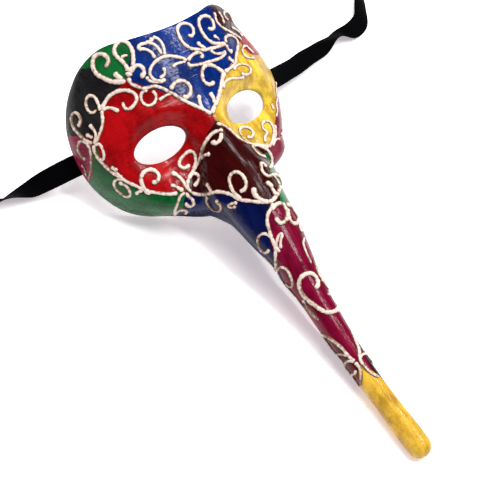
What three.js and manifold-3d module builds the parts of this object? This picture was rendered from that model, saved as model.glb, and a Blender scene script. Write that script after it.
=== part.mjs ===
// A harlequin mask: a Venetian half mask of papier-mache with a very long nose, and a black ribbon at each side.
// The mask is one hollow shell, open behind and under the nose, with an opening for each eye and the main
// lines of its raised paste scrollwork. It lies face up on both cheeks and on the tip of its nose.
// Millimetres. The mask is shaped in its own frame, +X to the viewer's right, +Y to the forehead and +Z out of
// the face, with the eye line at y = 0. Then it is tipped onto its nose and set down, +Z up.

import * as THREE from 'three';
import { mergeVertices } from 'three/addons/utils/BufferGeometryUtils.js';
import Module from 'manifold-3d';

const wasm = await Module();
wasm.setup();

// Driving dimensions
const wall = 2.8;
const eye = { x: 36, y: 0, halfLength: 18.5, halfHeight: 10.8, tiltDeg: -3, sides: 36 };
const socket = { halfLength: 33, above: 23, below: 28.75, depth: 11 };
const brow = { height: 1.2, halfLength: 30, above: 21 };
const cheek = { x: 51, y: -38, width: 19, height: 16, rise: 9 };
const crown = { height: 52, dropBelow: 14, dropAside: 5 };
const scroll = { radius: 1.6, lift: 0.35, sides: 4, step: 9.5 };
const rest = { tiltDeg: 33.98, lift: 24.08, forward: 118.9 };
const grid = { around: 52, noseRings: 15, faceRings: 24, capRings: 3, innerSkip: 2 };
const ribbon = { width: 15, thickness: 0.5, length: 500, step: 8, gap: 1.4, offFloor: 0.05 };
const coil = { pitch: 6, outerRadius: 41, clearance: 1.6, height: 15.6, sides: 28 };

// Rim of the mask, right half from the top of the forehead to under the nose: x, y and height z
const rimPoints = [
  [0, 70, 46], [28, 72, 40], [47.5, 73.4, 29], [60, 67, 19], [69, 55, 8], [78, 35, 1], [81, 12, 0],
  [79, -5, 0], [71.5, -22, 0], [60, -36, 0], [46, -45, 3.5], [29, -51, 16], [13, -58, 28], [0, -61, 32],
];
const faceCentreY = 8;

// Nose along its centre line, tip first: y, height z and radius
const nosePoints = [
  [-236, 139.6, 7.9], [-228, 134.8, 8.2], [-210, 124.4, 7.7], [-190, 113.6, 7.6], [-170, 104, 8.2],
  [-150, 95.2, 9.2], [-132, 89, 10.2], [-118, 84.2, 11.8], [-102, 79, 14.6], [-80, 70, 19.8],
  [-60, 61.5, 22.6], [-40, 54.5, 23.5], [-20, 49, 16.5], [0, 42.5, 11], [16, 38, 7],
];
const noseRootY = -108;

// Guide lines from the nose root to the rim, each with six stations: the surface is found close to them
const guideLines = {
  ridge: [[0, -103, 92], [0, -72, 86.5], [0, -36, 73], [0, 4, 55], [0, 42, 52], [0, 70, 46]],
  brow: [[9, -105, 88], [13.5, -77, 80], [17, -42, 65], [28, 5, 46], [50, 38, 41], [66, 60, 13]],
  temple: [[14, -108, 79], [19.5, -82, 66], [26, -50, 46], [45, -16, 36], [70, 2, 31], [81, 8, 0]],
  cheek: [[10, -111, 69], [14, -92, 57], [19, -69, 47], [29, -46, 35], [44, -42.5, 20], [53, -41, 2]],
  under: [[0, -114, 65.5], [0, -95, 55.5], [0, -78.5, 47], [0, -69, 41.5], [0, -62, 36], [0, -61, 32]],
};

// Main lines of the raised scrollwork, along the edges of the painted patches
const scrollLines = {
  foreheadLeft: [[-42, 48, 40], [-33, 40, 45], [-22, 29, 49], [-11, 18, 52], [0, 6, 55]],
  foreheadRight: [[0, 6, 55], [12, 17, 52], [22, 26, 49], [36, 32, 45], [52, 40, 36], [54, 50, 31]],
  templeLeft: [[-42, 48, 40], [-55, 42, 33], [-63, 34, 31], [-67, 27, 30], [-73, 20, 26]],
  cheekLeft: [[-73, 20, 26], [-74, 8, 25], [-73, -2, 28], [-67, -13, 32], [-57, -24, 37], [-45, -31, 37], [-34, -34, 39]],
  noseSideLeft: [[-1, 1, 57], [-10, -5, 54], [-15, -14, 51], [-23, -23, 45], [-34, -34, 39]],
  noseSideRight: [[-1, 1, 57], [8, -10, 56], [22, -20, 44], [35, -30, 40], [45, -42, 30]],
  noseBand: [[-34, -34, 39], [-26, -39, 45], [-22, -41, 55], [-17, -47, 68], [-12, -55, 77], [-2, -61, 85]],
  cheekEdge: [[-34, -34, 39], [-39, -40, 33], [-41, -47, 25]],
  noseEdge: [[-2, -61, 85], [-9, -70, 85], [-13, -81, 84], [-14, -98, 83]],
};

// Ribbon routes. Each point is the middle of the strip: x, y, z, then where its upper edge lies from it,
// as a compass angle from +X and a lean above level, in degrees. The first points are glued inside the rim.
// At the last the strip, standing on its edge, touches the circle of its coil.
const ribbonRoutes = {
  left: {
    points: [
      [-74, 118.3, 39.3, 90, 34], [-75, 122.3, 33.4, 90, 34], [-76.6, 126.2, 27.8, 90, 34],
      [-80, 128.4, 24.2, 90, 34], [-86, 130.2, 20.8, 90, 30], [-93, 132.8, 15.6, 90, 20],
      [-101, 135.4, 10.2, 90, 8], [-110, 137.4, 5.4, 90, -10], [-120, 138, 5, 90, -36],
      [-131, 137.6, 6.6, 90, -62], [-143, 138.2, 7.8, 90, -84], [-165, 141, 7.8, 90, -90],
    ],
    heading: [-1, 0], turn: -1,
  },
  right: {
    points: [
      [74, 118.3, 39.3, 90, 34], [75, 122.3, 33.4, 90, 34], [76.6, 126.2, 27.8, 90, 34],
      [80, 128.4, 24.2, 90, 34], [88, 129.8, 21.4, 94, 32], [98, 132, 17.6, 100, 26],
      [112, 136, 12.4, 106, 16], [127, 140, 7.8, 107, 8], [143, 145, 4, 106, 4], [160, 149.4, 1.8, 102, 0],
      [178, 151.6, 1, 97, 4], [196, 154, 2, 101, 16], [211, 158.6, 4, 123, 28], [222, 167, 5.4, 137, 38],
      [230, 179, 6.4, 150, 52], [238, 200, 7.8, 158, 78], [249, 229.5, 7.8, 159, 90],
    ],
    heading: [0.35, 0.937], turn: 1,
  },
};

const colours = { lacquer: 0x9c1a22, satin: 0x0b0b0d };

// Smooth curve through named values: a cubic between each two keys, with the slope of its neighbours
function curveThrough(keys, values, x) {
  const last = keys.length - 1;
  const at = Math.min(Math.max(x, keys[0]), keys[last]);
  let i = 0;
  while (i < last - 1 && at >= keys[i + 1]) i++;
  const slopeOf = (k) => (values[k + 1] - values[k]) / (keys[k + 1] - keys[k]);
  const tangent = (k) => {
    if (k === 0) return slopeOf(0);
    if (k === last) return slopeOf(last - 1);
    const before = keys[k] - keys[k - 1];
    const after = keys[k + 1] - keys[k];
    return (slopeOf(k) * before + slopeOf(k - 1) * after) / (before + after);
  };
  const span = keys[i + 1] - keys[i];
  const t = (at - keys[i]) / span;
  return values[i] * (1 + 2 * t) * (1 - t) ** 2 + tangent(i) * span * t * (1 - t) ** 2
    + values[i + 1] * t * t * (3 - 2 * t) + tangent(i + 1) * span * t * t * (t - 1);
}

// The same curve, level at both ends, for an outline that is mirrored there
function mirroredCurve(keys, values, x, sign = 1) {
  const n = keys.length;
  const wideKeys = [2 * keys[0] - keys[1], ...keys, 2 * keys[n - 1] - keys[n - 2]];
  const wideValues = [sign * values[1], ...values, sign * values[n - 2]];
  return curveThrough(wideKeys, wideValues, x);
}

function smoothStep(from, to, x) {
  const t = Math.min(Math.max((x - from) / (to - from), 0), 1);
  return t * t * (3 - 2 * t);
}

const degrees = (radians) => radians * 180 / Math.PI;
const radians = (deg) => deg * Math.PI / 180;

const rimAngles = rimPoints.map(([x, y]) => degrees(Math.atan2(x, y - faceCentreY)));
const rimRadii = rimPoints.map(([x, y]) => Math.hypot(x, y - faceCentreY));
const rimHeights = rimPoints.map((point) => point[2]);
const noseY = nosePoints.map((point) => point[0]);
const noseZ = nosePoints.map((point) => point[1]);
const noseR = nosePoints.map((point) => point[2]);

// Rim point at an angle from the top of the forehead, 0 to 360 degrees clockwise
function rimPoint(angleDeg) {
  const half = 180 - Math.abs(180 - angleDeg);
  const radius = mirroredCurve(rimAngles, rimRadii, half);
  const height = mirroredCurve(rimAngles, rimHeights, half);
  const a = radians(angleDeg);
  return new THREE.Vector3(radius * Math.sin(a), faceCentreY + radius * Math.cos(a), height);
}

// Place in the frame of the nearer eye: u along the eye away from the nose, v up the face
function eyeFrame(x, y) {
  const tilt = radians(eye.tiltDeg);
  const dx = Math.abs(x) - eye.x;
  const dy = y - eye.y;
  return [dx * Math.cos(tilt) + dy * Math.sin(tilt), dy * Math.cos(tilt) - dx * Math.sin(tilt)];
}

// Height of the face over its rim plane: a dome with steep sides, lowered at the sockets and raised at the
// brows and cheeks. Also gives how far out towards the rim the point lies, 1 at the rim.
function faceHeight(x, y) {
  const side = Math.abs(x);
  const angle = degrees(Math.atan2(side, y - faceCentreY));
  const out = Math.hypot(x, y - faceCentreY) / mirroredCurve(rimAngles, rimRadii, angle);
  const base = mirroredCurve(rimAngles, rimHeights, angle);
  let top = crown.height - crown.dropBelow * smoothStep(8, -48, y) - crown.dropAside * smoothStep(30, 75, side);
  const [u, v] = eyeFrame(x, y);
  const inSocket = Math.hypot(u / socket.halfLength, v / (v > 0 ? socket.above : socket.below));
  top -= socket.depth * (1 - smoothStep(0.25, 1.12, inSocket));
  const onBrow = Math.hypot(u / brow.halfLength, v / brow.above);
  top += brow.height * Math.exp(-(((onBrow - 1.02) / 0.22) ** 2)) * smoothStep(-4, 10, v)
    * (1 - smoothStep(20, 40, Math.abs(u + 4)));
  top += cheek.rise * Math.exp(-(((side - cheek.x) / cheek.width) ** 2) - ((y - cheek.y) / cheek.height) ** 2);
  const power = 1.75 + 0.7 * smoothStep(50, 90, angle) + 2.1 * smoothStep(96, 134, angle)
    + 5 * smoothStep(122, 140, angle);
  const dome = (1 - Math.min(out, 1) ** power) ** (1 / power);
  return { height: base + (top - base) * dome, out };
}

// Centre line of the nose at a station y: its height and its slope
function noseLine(y) {
  const z = curveThrough(noseY, noseZ, y);
  const slope = curveThrough(noseY, noseZ, y + 0.5) - curveThrough(noseY, noseZ, y - 0.5);
  return { z, slope };
}

// Distance outside the nose. Near the face its section narrows towards the ridge, and it narrows below too.
function noseDistance(x, y, z) {
  const first = noseY[0];
  const last = noseY[noseY.length - 1];
  const within = (value) => Math.min(Math.max(value, first), last);
  let foot = within(y);
  for (let i = 0; i < 5; i++) {
    const line = noseLine(foot);
    foot = within((y + (z - line.z) * line.slope + line.slope ** 2 * foot) / (1 + line.slope ** 2));
  }
  const { z: lineZ, slope } = noseLine(foot);
  const length = Math.sqrt(1 + slope * slope);
  const above = ((z - lineZ) - (y - foot) * slope) / length;
  const along = ((y - foot) + (z - lineZ) * slope) / length;
  const root = smoothStep(-108, -64, foot);
  const lower = smoothStep(-118, -96, foot) * smoothStep(6, -8, above);
  const narrow = 1 + 0.2 * root * smoothStep(0, 24, above) + 0.2 * lower;
  const deepen = 1 - 0.09 * root * smoothStep(0, -16, above);
  return Math.hypot(x * narrow, above * deepen, along) - curveThrough(noseY, noseR, foot);
}

// Below zero inside the mask's outer form: the face and the nose, joined by a fillet that grows downwards
function outside(x, y, z) {
  const { height, out } = faceHeight(x, y);
  const face = (z - height) * 0.75 + 60 * Math.max(out - 1, 0);
  const nose = noseDistance(x, y, z);
  const fillet = 12 + 22 * smoothStep(-12, -50, y);
  const near = Math.max(fillet - Math.abs(face - nose), 0) / fillet;
  return Math.min(face, nose) - near * near * fillet * 0.25;
}

// Where the outer form is met along a direction from a point, between two distances
function meet(point, direction, from, to) {
  let low = from;
  let high = to;
  for (let i = 0; i < 24; i++) {
    const middle = (low + high) / 2;
    const value = outside(
      point.x + direction.x * middle, point.y + direction.y * middle, point.z + direction.z * middle);
    if (value < 0) low = middle;
    else high = middle;
  }
  return point.clone().addScaledVector(direction, (low + high) / 2);
}

// A point near the outer form, moved onto it along the steepest way
function seat(point) {
  const p = point.clone();
  const d = 0.2;
  for (let i = 0; i < 6; i++) {
    const value = outside(p.x, p.y, p.z);
    const slope = new THREE.Vector3(
      outside(p.x + d, p.y, p.z) - outside(p.x - d, p.y, p.z),
      outside(p.x, p.y + d, p.z) - outside(p.x, p.y - d, p.z),
      outside(p.x, p.y, p.z + d) - outside(p.x, p.y, p.z - d)).divideScalar(2 * d);
    p.addScaledVector(slope, -value / Math.max(slope.lengthSq(), 0.05));
  }
  return p;
}

// Rings of the nose from the tip to the root, square to its centre line, with a round cap at the tip
function noseRings() {
  const rings = [];
  const ringAt = (y, radius, ahead) => {
    const { z, slope } = noseLine(y);
    const length = Math.sqrt(1 + slope * slope);
    const up = new THREE.Vector3(0, -slope / length, 1 / length);
    const forward = new THREE.Vector3(0, -1 / length, -slope / length);
    const centre = new THREE.Vector3(0, y, z).addScaledVector(forward, ahead);
    return Array.from({ length: grid.around }, (_, j) => {
      const a = 2 * Math.PI * j / grid.around;
      return centre.clone().addScaledVector(up, radius * Math.cos(a)).add(new THREE.Vector3(radius * Math.sin(a), 0, 0));
    });
  };
  const tipY = noseY[0];
  const tipRadius = noseR[0];
  for (let i = 1; i <= grid.capRings; i++) {
    const a = (i / (grid.capRings + 1)) * Math.PI / 2;
    rings.push(ringAt(tipY, tipRadius * Math.sin(a), tipRadius * Math.cos(a)));
  }
  for (let i = 0; i < grid.noseRings; i++) {
    const y = tipY + (noseRootY - tipY) * i / grid.noseRings;
    rings.push(ringAt(y, curveThrough(noseY, noseR, y), 0));
  }
  const { z, slope } = noseLine(tipY);
  const length = Math.sqrt(1 + slope * slope);
  const tip = new THREE.Vector3(0, tipY - tipRadius / length, z - tipRadius * slope / length);
  return { rings, tip };
}

// Rings of the face between the guide lines, from the nose root to the rim
function faceRings() {
  const lines = Object.values(guideLines);
  const turns = [0, 45, 90, 135, 180];
  const stations = [0, 0.2, 0.4, 0.6, 0.8, 1];
  const rings = [];
  for (let i = 0; i <= grid.faceRings; i++) {
    const t = i / grid.faceRings;
    const ring = [];
    for (let j = 0; j < grid.around; j++) {
      const angle = 360 * j / grid.around;
      const half = 180 - Math.abs(180 - angle);
      const side = angle > 180 ? -1 : 1;
      const [x, y, z] = [0, 1, 2].map((axis) => {
        const along = stations.map((_, s) =>
          mirroredCurve(turns, lines.map((line) => line[s][axis]), half, axis === 0 ? -1 : 1));
        return curveThrough(stations, along, t);
      });
      ring.push(new THREE.Vector3(side * x, y, z));
    }
    rings.push(ring);
  }
  return rings;
}

// Average of each point with its neighbours, along and around, keeping the first and last rings
function blurRings(rings, times) {
  let now = rings;
  for (let pass = 0; pass < times; pass++) {
    now = now.map((ring, i) => ring.map((point, j) => {
      if (i === 0 || i === now.length - 1) return point.clone();
      const n = ring.length;
      return point.clone().multiplyScalar(4)
        .add(now[i - 1][j]).add(now[i + 1][j]).add(ring[(j + 1) % n]).add(ring[(j + n - 1) % n])
        .divideScalar(8);
    }));
  }
  return now;
}

// Outward direction at each point of the rings
function ringNormals(rings) {
  return rings.map((ring, i) => ring.map((_, j) => {
    const n = ring.length;
    const before = rings[Math.max(i - 1, 0)][j];
    const after = rings[Math.min(i + 1, rings.length - 1)][j];
    const along = after.clone().sub(before);
    const around = ring[(j + 1) % n].clone().sub(ring[(j + n - 1) % n]);
    return around.cross(along).normalize();
  }));
}

// Outer surface: guide rings moved onto the outer form along evened-out normals, then once more after a blur
function outerRings() {
  const { rings: nose, tip } = noseRings();
  const capCount = grid.capRings;
  const cap = nose.slice(0, capCount);
  let rings = [...nose.slice(capCount), ...faceRings()];
  const lastRing = rings.length - 1;
  rings[lastRing] = rings[lastRing].map((_, j) => rimPoint(360 * j / grid.around));
  const guide = rings;
  for (const reach of [16, 8]) {
    const directions = blurRings(ringNormals(rings), 10).map((ring) => ring.map((v) => v.normalize()));
    rings = rings.map((ring, i) => ring.map((point, j) => {
      if (i === lastRing) return point;
      const angle = 180 - Math.abs(180 - 360 * j / grid.around);
      const t = (i - grid.noseRings) / grid.faceRings;
      const underNose = smoothStep(0.5, 1, t) * smoothStep(125, 165, angle);
      return meet(point, directions[i][j], -reach, reach).lerp(guide[i][j], underNose);
    }));
    rings = blurRings(rings, reach === 16 ? 3 : 0);
  }
  return { rings: [...cap, ...rings], tip };
}

// Triangles between two rings of the same count
function joinRings(triangles, ringA, ringB, count) {
  for (let j = 0; j < count; j++) {
    const k = (j + 1) % count;
    triangles.push(ringA + j, ringB + j, ringB + k, ringA + j, ringB + k, ringA + k);
  }
}

// A closed body of nested rings with an outer and an inner skin, each closed at the nose tip
function shellGeometry({ rings, tip }) {
  const count = grid.around;
  const normals = ringNormals(rings);
  const positions = [];
  const triangles = [];
  const put = (point) => positions.push(point.x, point.y, point.z) / 3 - 1;
  const putRing = (ring) => {
    const start = positions.length / 3;
    ring.forEach(put);
    return start;
  };
  const skin = (pole, ringList, outward) => {
    const part = [];
    const poleAt = positions.length / 3;
    put(pole);
    const starts = ringList.map(putRing);
    for (let j = 0; j < count; j++) part.push(poleAt, starts[0] + (j + 1) % count, starts[0] + j);
    for (let i = 0; i + 1 < starts.length; i++) joinRings(part, starts[i + 1], starts[i], count);
    for (let i = 0; i < part.length; i += 3) {
      if (outward) triangles.push(part[i], part[i + 1], part[i + 2]);
      else triangles.push(part[i], part[i + 2], part[i + 1]);
    }
    return starts[starts.length - 1];
  };
  const inner = rings.map((ring, i) => ring.map((point, j) => {
    const moved = point.clone().addScaledVector(normals[i][j], -wall);
    if (i === rings.length - 1) moved.z = Math.max(moved.z, 0);
    return moved;
  })).filter((_, i) => i >= grid.capRings && (rings.length - 1 - i) % grid.innerSkip === 0);
  const innerTip = inner[0].reduce((sum, p) => sum.add(p), new THREE.Vector3()).divideScalar(count);
  const outerRim = skin(tip, rings, true);
  const innerRim = skin(innerTip, inner, false);
  joinRings(triangles, innerRim, outerRim, count);
  const geometry = new THREE.BufferGeometry();
  geometry.setAttribute('position', new THREE.Float32BufferAttribute(positions, 3));
  geometry.setIndex(triangles);
  return geometry;
}

// three.js geometry to solid, and back
function toSolid(geometry) {
  const bare = geometry.clone();
  bare.deleteAttribute('normal');
  bare.deleteAttribute('uv');
  const merged = mergeVertices(bare, 1e-4);
  const mesh = new wasm.Mesh({
    numProp: 3,
    vertProperties: new Float32Array(merged.attributes.position.array),
    triVerts: new Uint32Array(merged.index.array),
  });
  return new wasm.Manifold(mesh);
}

function toGeometry(solid) {
  const mesh = solid.getMesh();
  const geometry = new THREE.BufferGeometry();
  geometry.setAttribute('position', new THREE.Float32BufferAttribute(mesh.vertProperties, 3));
  geometry.setIndex(Array.from(mesh.triVerts));
  return geometry;
}

// Upright prism of the eye opening, side -1 on the left and 1 on the right
function eyeCutter(side) {
  const outline = new THREE.Shape();
  outline.absellipse(0, 0, eye.halfLength, eye.halfHeight, 0, 2 * Math.PI, false, 0);
  const from = 12;
  const to = 75;
  const prism = new THREE.ExtrudeGeometry(outline, {
    depth: to - from, bevelEnabled: false, curveSegments: eye.sides, steps: 1,
  });
  prism.rotateZ(side * radians(eye.tiltDeg));
  prism.translate(side * eye.x, eye.y, from);
  return toSolid(prism);
}

// Closed tube of few sides along points, each with its own outward direction
function tubeGeometry(points, outward, radius, sides) {
  const positions = [];
  const triangles = [];
  points.forEach((point, i) => {
    const ahead = points[Math.min(i + 1, points.length - 1)].clone().sub(points[Math.max(i - 1, 0)]).normalize();
    const across = outward[i].clone().cross(ahead).normalize();
    const up = ahead.clone().cross(across);
    for (let j = 0; j < sides; j++) {
      const a = 2 * Math.PI * (j + 0.25) / sides;
      const p = point.clone().addScaledVector(across, radius * Math.cos(a)).addScaledVector(up, radius * Math.sin(a));
      positions.push(p.x, p.y, p.z);
    }
  });
  for (let i = 0; i + 1 < points.length; i++) joinRings(triangles, (i + 1) * sides, i * sides, sides);
  const end = (points.length - 1) * sides;
  for (let j = 1; j + 1 < sides; j++) {
    triangles.push(0, j + 1, j);
    triangles.push(end, end + j, end + j + 1);
  }
  const geometry = new THREE.BufferGeometry();
  geometry.setAttribute('position', new THREE.Float32BufferAttribute(positions, 3));
  geometry.setIndex(triangles);
  return geometry;
}

// One raised line of the scrollwork, half sunk in the surface
function scrollTube(line) {
  const path = new THREE.CatmullRomCurve3(line.map((p) => seat(new THREE.Vector3(...p))));
  const steps = Math.max(2, Math.round(path.getLength() / scroll.step));
  const points = path.getSpacedPoints(steps).map(seat);
  const d = 0.3;
  const outward = points.map((p) => new THREE.Vector3(
    outside(p.x + d, p.y, p.z) - outside(p.x - d, p.y, p.z),
    outside(p.x, p.y + d, p.z) - outside(p.x, p.y - d, p.z),
    outside(p.x, p.y, p.z + d) - outside(p.x, p.y, p.z - d)).normalize());
  const lifted = points.map((p, i) => p.clone().addScaledVector(outward[i], scroll.lift));
  return toSolid(tubeGeometry(lifted, outward, scroll.radius, scroll.sides));
}

function maskShell() {
  let solid = toSolid(shellGeometry(outerRings()));
  for (const side of [-1, 1]) solid = solid.subtract(eyeCutter(side));
  for (const line of Object.values(scrollLines)) solid = solid.add(scrollTube(line));
  const geometry = toGeometry(solid);
  geometry.rotateX(radians(rest.tiltDeg));
  geometry.translate(0, rest.forward, rest.lift);
  return geometry;
}

// Points of a ribbon's route, from the glued end to the coil, evenly spaced, with the strip's width and
// thickness directions. The strip is kept off the floor by half its width at its lean. Where it ends touching the coil's circle, it is cut
// short of the ring that stands for the coil.
function ribbonPath(route) {
  const middle = new THREE.CatmullRomCurve3(
    route.points.map(([x, y, z]) => new THREE.Vector3(x, y, z)), false, 'centripetal');
  const length = middle.getLength();
  const outer = coil.outerRadius + coil.clearance;
  const cutOff = Math.sqrt(outer ** 2 - (coil.outerRadius - ribbon.thickness) ** 2) + ribbon.gap;
  const steps = Math.round(length / ribbon.step);
  const keys = route.points.map((_, i) => i / (route.points.length - 1));
  const samples = [];
  for (let i = 0; i <= steps; i++) {
    const t = middle.getUtoTmapping((i / steps) * (1 - cutOff / length));
    const compass = radians(curveThrough(keys, route.points.map((point) => point[3]), t));
    const lean = radians(curveThrough(keys, route.points.map((point) => point[4]), t));
    const point = middle.getPoint(t);
    const ahead = middle.getTangent(t);
    const across = new THREE.Vector3(
      Math.cos(compass) * Math.cos(lean), Math.sin(compass) * Math.cos(lean), Math.sin(lean));
    across.addScaledVector(ahead, -across.dot(ahead)).normalize();
    const thick = ahead.clone().cross(across);
    const lowest = Math.abs(across.z) * ribbon.width / 2 + Math.abs(thick.z) * ribbon.thickness / 2;
    point.z = Math.max(point.z, lowest + ribbon.offFloor);
    samples.push({ point, across, thick });
  }
  return { samples, length };
}

// Flat strip along a route: a thin rectangle at each sample
function ribbonStrip(route) {
  const { samples } = ribbonPath(route);
  const positions = [];
  const triangles = [];
  for (const { point, across, thick } of samples) {
    for (const [a, b] of [[-1, -1], [1, -1], [1, 1], [-1, 1]]) {
      const p = point.clone()
        .addScaledVector(across, a * ribbon.width / 2)
        .addScaledVector(thick, b * ribbon.thickness / 2);
      positions.push(p.x, p.y, p.z);
    }
  }
  for (let i = 0; i + 1 < samples.length; i++) joinRings(triangles, (i + 1) * 4, i * 4, 4);
  const last = (samples.length - 1) * 4;
  triangles.push(0, 2, 1, 0, 3, 2, last, last + 1, last + 2, last, last + 2, last + 3);
  const geometry = new THREE.BufferGeometry();
  geometry.setAttribute('position', new THREE.Float32BufferAttribute(positions, 3));
  geometry.setIndex(triangles);
  return geometry;
}

// Ring that holds the wound end of a ribbon. The rest of its length sets how far in the turns reach.
function ribbonCoil(route) {
  const { length } = ribbonPath(route);
  const wound = ribbon.length - length;
  let inner = coil.outerRadius;
  while (Math.PI * (coil.outerRadius ** 2 - inner ** 2) / coil.pitch < wound) inner -= 0.1;
  const low = inner - coil.clearance;
  const high = coil.outerRadius + coil.clearance;
  const ring = new THREE.LatheGeometry([
    new THREE.Vector2(low, 0), new THREE.Vector2(high, 0), new THREE.Vector2(high, coil.height),
    new THREE.Vector2(low, coil.height), new THREE.Vector2(low, 0),
  ], coil.sides);
  ring.rotateX(Math.PI / 2);
  const [x, y] = route.points[route.points.length - 1];
  const [hx, hy] = route.heading;
  ring.translate(x + route.turn * -hy * coil.outerRadius, y + route.turn * hx * coil.outerRadius, 0);
  return ring;
}

function addPiece(group, name, geometry, material) {
  const mesh = new THREE.Mesh(geometry, material);
  mesh.name = name;
  group.add(mesh);
}

const lacquer = new THREE.MeshStandardMaterial({ color: colours.lacquer, roughness: 0.3, metalness: 0 });
const satin = new THREE.MeshStandardMaterial({ color: colours.satin, roughness: 0.55, metalness: 0 });

const mask = new THREE.Group();
addPiece(mask, 'mask_shell', maskShell(), lacquer);
for (const [side, route] of Object.entries(ribbonRoutes)) {
  addPiece(mask, `ribbon_${side}`, ribbonStrip(route), satin);
  addPiece(mask, `ribbon_coil_${side}`, ribbonCoil(route), satin);
}

export default mask;
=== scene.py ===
import math

import bpy
import bmesh
import numpy as np
from mathutils import Matrix, Vector
from mathutils.bvhtree import BVHTree


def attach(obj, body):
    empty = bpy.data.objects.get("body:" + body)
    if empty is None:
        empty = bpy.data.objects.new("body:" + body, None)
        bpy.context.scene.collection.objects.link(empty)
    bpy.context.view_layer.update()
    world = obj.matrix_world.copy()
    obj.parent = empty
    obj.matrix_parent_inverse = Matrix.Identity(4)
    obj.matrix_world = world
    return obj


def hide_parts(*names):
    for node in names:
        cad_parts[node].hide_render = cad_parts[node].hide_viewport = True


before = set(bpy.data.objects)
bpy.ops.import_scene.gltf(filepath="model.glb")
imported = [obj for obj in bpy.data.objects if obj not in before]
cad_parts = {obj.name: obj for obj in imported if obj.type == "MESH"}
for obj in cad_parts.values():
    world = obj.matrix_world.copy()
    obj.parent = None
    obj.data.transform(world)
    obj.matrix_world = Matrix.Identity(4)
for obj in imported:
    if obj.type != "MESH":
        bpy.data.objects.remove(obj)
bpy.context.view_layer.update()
print("frame loaded")

# The mask is shaped in its own frame in millimetres, as in the part: +X to the viewer's right, +Y to the
# forehead, +Z out of the face. place() tips it onto its cheeks and nose tip and turns millimetres to metres.
rest = {"tiltDeg": 33.98, "lift": 24.08, "forward": 118.9}
tiltCos = math.cos(math.radians(rest["tiltDeg"]))
tiltSin = math.sin(math.radians(rest["tiltDeg"]))

# Camera: where it stands in metres, its right and up directions, and its lens on a 36 mm wide sensor.
# The picture is 500 by 488.
shot = {
    "stand": (-0.4303, -0.3016, 0.7421),
    "right": (0.785, -0.588, 0.1952),
    "up": (0.4043, 0.7249, 0.5577),
    "lensMm": 95.4,
    "sensorMm": 36.0,
    "picture": (500, 488),
    "nearest": 0.01,
}

# Floor and lights. The floor is a light table that glows a little, so its shadows stay pale, and glows more
# with distance from the part. Mirror reflections see less of the floor and the world by the share hidden.
# Each lamp has its direction from the part as azimuth and elevation, its two sides in metres, its power in
# watts and whether it shows in reflections.
studio = {
    "floorSize": 6.0,
    "floorDrop": 0.0002,
    "floorColour": (0.94, 0.93, 0.935),
    "floorRoughness": 0.9,
    "floorShine": 0.1,
    "glowColour": (1.0, 0.93, 0.97),
    "glow": (0.43, 1.0),
    "glowReach": (0.7, 2.2),
    "worldColour": (1.0, 0.95, 0.98),
    "worldStrength": 0.20,
    "backdropStrength": 1.0,
    "hidden": 0.7,
    "aim": (0, 0.02, 0.03),
    "lampDistance": 1.5,
    "lamps": {
        "key": {"azimuth": 60, "elevation": 82, "sides": (0.9, 0.9), "power": 21.5, "shines": False},
        "stripLeft": {"azimuth": -64, "elevation": 67, "sides": (0.16, 0.5), "power": 7.0, "shines": True},
        "stripRight": {"azimuth": 5, "elevation": 62, "sides": (0.9, 0.04), "power": 7.0, "shines": True},
        "stripTop": {"azimuth": 68, "elevation": 64, "sides": (0.04, 0.5), "power": 4.0, "shines": True},
    },
}


def place(points):
    # Mask frame to row frame: a turn about +X by the rest tilt, then a shift, then millimetres to metres
    p = np.asarray(points, float)
    y = p[..., 1] * tiltCos - p[..., 2] * tiltSin + rest["forward"]
    z = p[..., 1] * tiltSin + p[..., 2] * tiltCos + rest["lift"]
    return np.stack([p[..., 0], y, z], -1) / 1000


def unplace(points):
    # Row frame to mask frame, the reverse of place
    p = np.asarray(points, float) * 1000
    y = p[..., 1] - rest["forward"]
    z = p[..., 2] - rest["lift"]
    return np.stack([p[..., 0], y * tiltCos + z * tiltSin, z * tiltCos - y * tiltSin], -1)


def unit(v):
    # A direction of length one
    v = np.asarray(v, float)
    return v / np.maximum(np.linalg.norm(v, axis=-1, keepdims=True), 1e-12)


def makeCamera():
    # Camera axes as columns: right, up and back, made square to each other
    right = unit(shot["right"])
    back = unit(np.cross(right, shot["up"]))
    up = np.cross(back, right)
    data = bpy.data.cameras.new("camera")
    data.lens = shot["lensMm"]
    data.sensor_width = shot["sensorMm"]
    data.sensor_fit = "HORIZONTAL"
    data.clip_start = shot["nearest"]
    cam = bpy.data.objects.new("camera", data)
    rows = [[right[i], up[i], back[i], shot["stand"][i]] for i in range(3)]
    cam.matrix_world = Matrix(rows + [[0, 0, 0, 1]])
    bpy.context.scene.collection.objects.link(cam)
    bpy.context.scene.camera = cam
    return right, up, back


cameraRight, cameraUp, cameraBack = makeCamera()


def viewRay(px):
    # Direction from the camera through a picture point: back is behind, and the lens sets how far apart
    px = np.asarray(px, float)
    focal = shot["lensMm"] / shot["sensorMm"] * shot["picture"][0]
    x = (px[..., 0:1] - shot["picture"][0] / 2) / focal
    y = (shot["picture"][1] / 2 - px[..., 1:2]) / focal
    return unit(x * cameraRight + y * cameraUp - cameraBack)


def newMaterial(name):
    # A new material, its node tree and its principled shader
    mat = bpy.data.materials.new(name)
    mat.use_nodes = True
    tree = mat.node_tree
    return mat, tree, tree.nodes["Principled BSDF"]


def node(tree, kind, **values):
    # One shader node. Keys that name a socket set its value, and other keys set the node itself.
    made = tree.nodes.new(kind)
    for key, value in values.items():
        if key in made.inputs:
            made.inputs[key].default_value = value
        else:
            setattr(made, key, value)
    return made


def feed(tree, value, socket):
    # Gives a socket its value: the output of another node, a number or a colour
    if hasattr(value, "is_linked"):
        tree.links.new(value, socket)
    elif isinstance(value, (int, float)):
        socket.default_value = value
    else:
        socket.default_value = (*value, 1.0)


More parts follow.
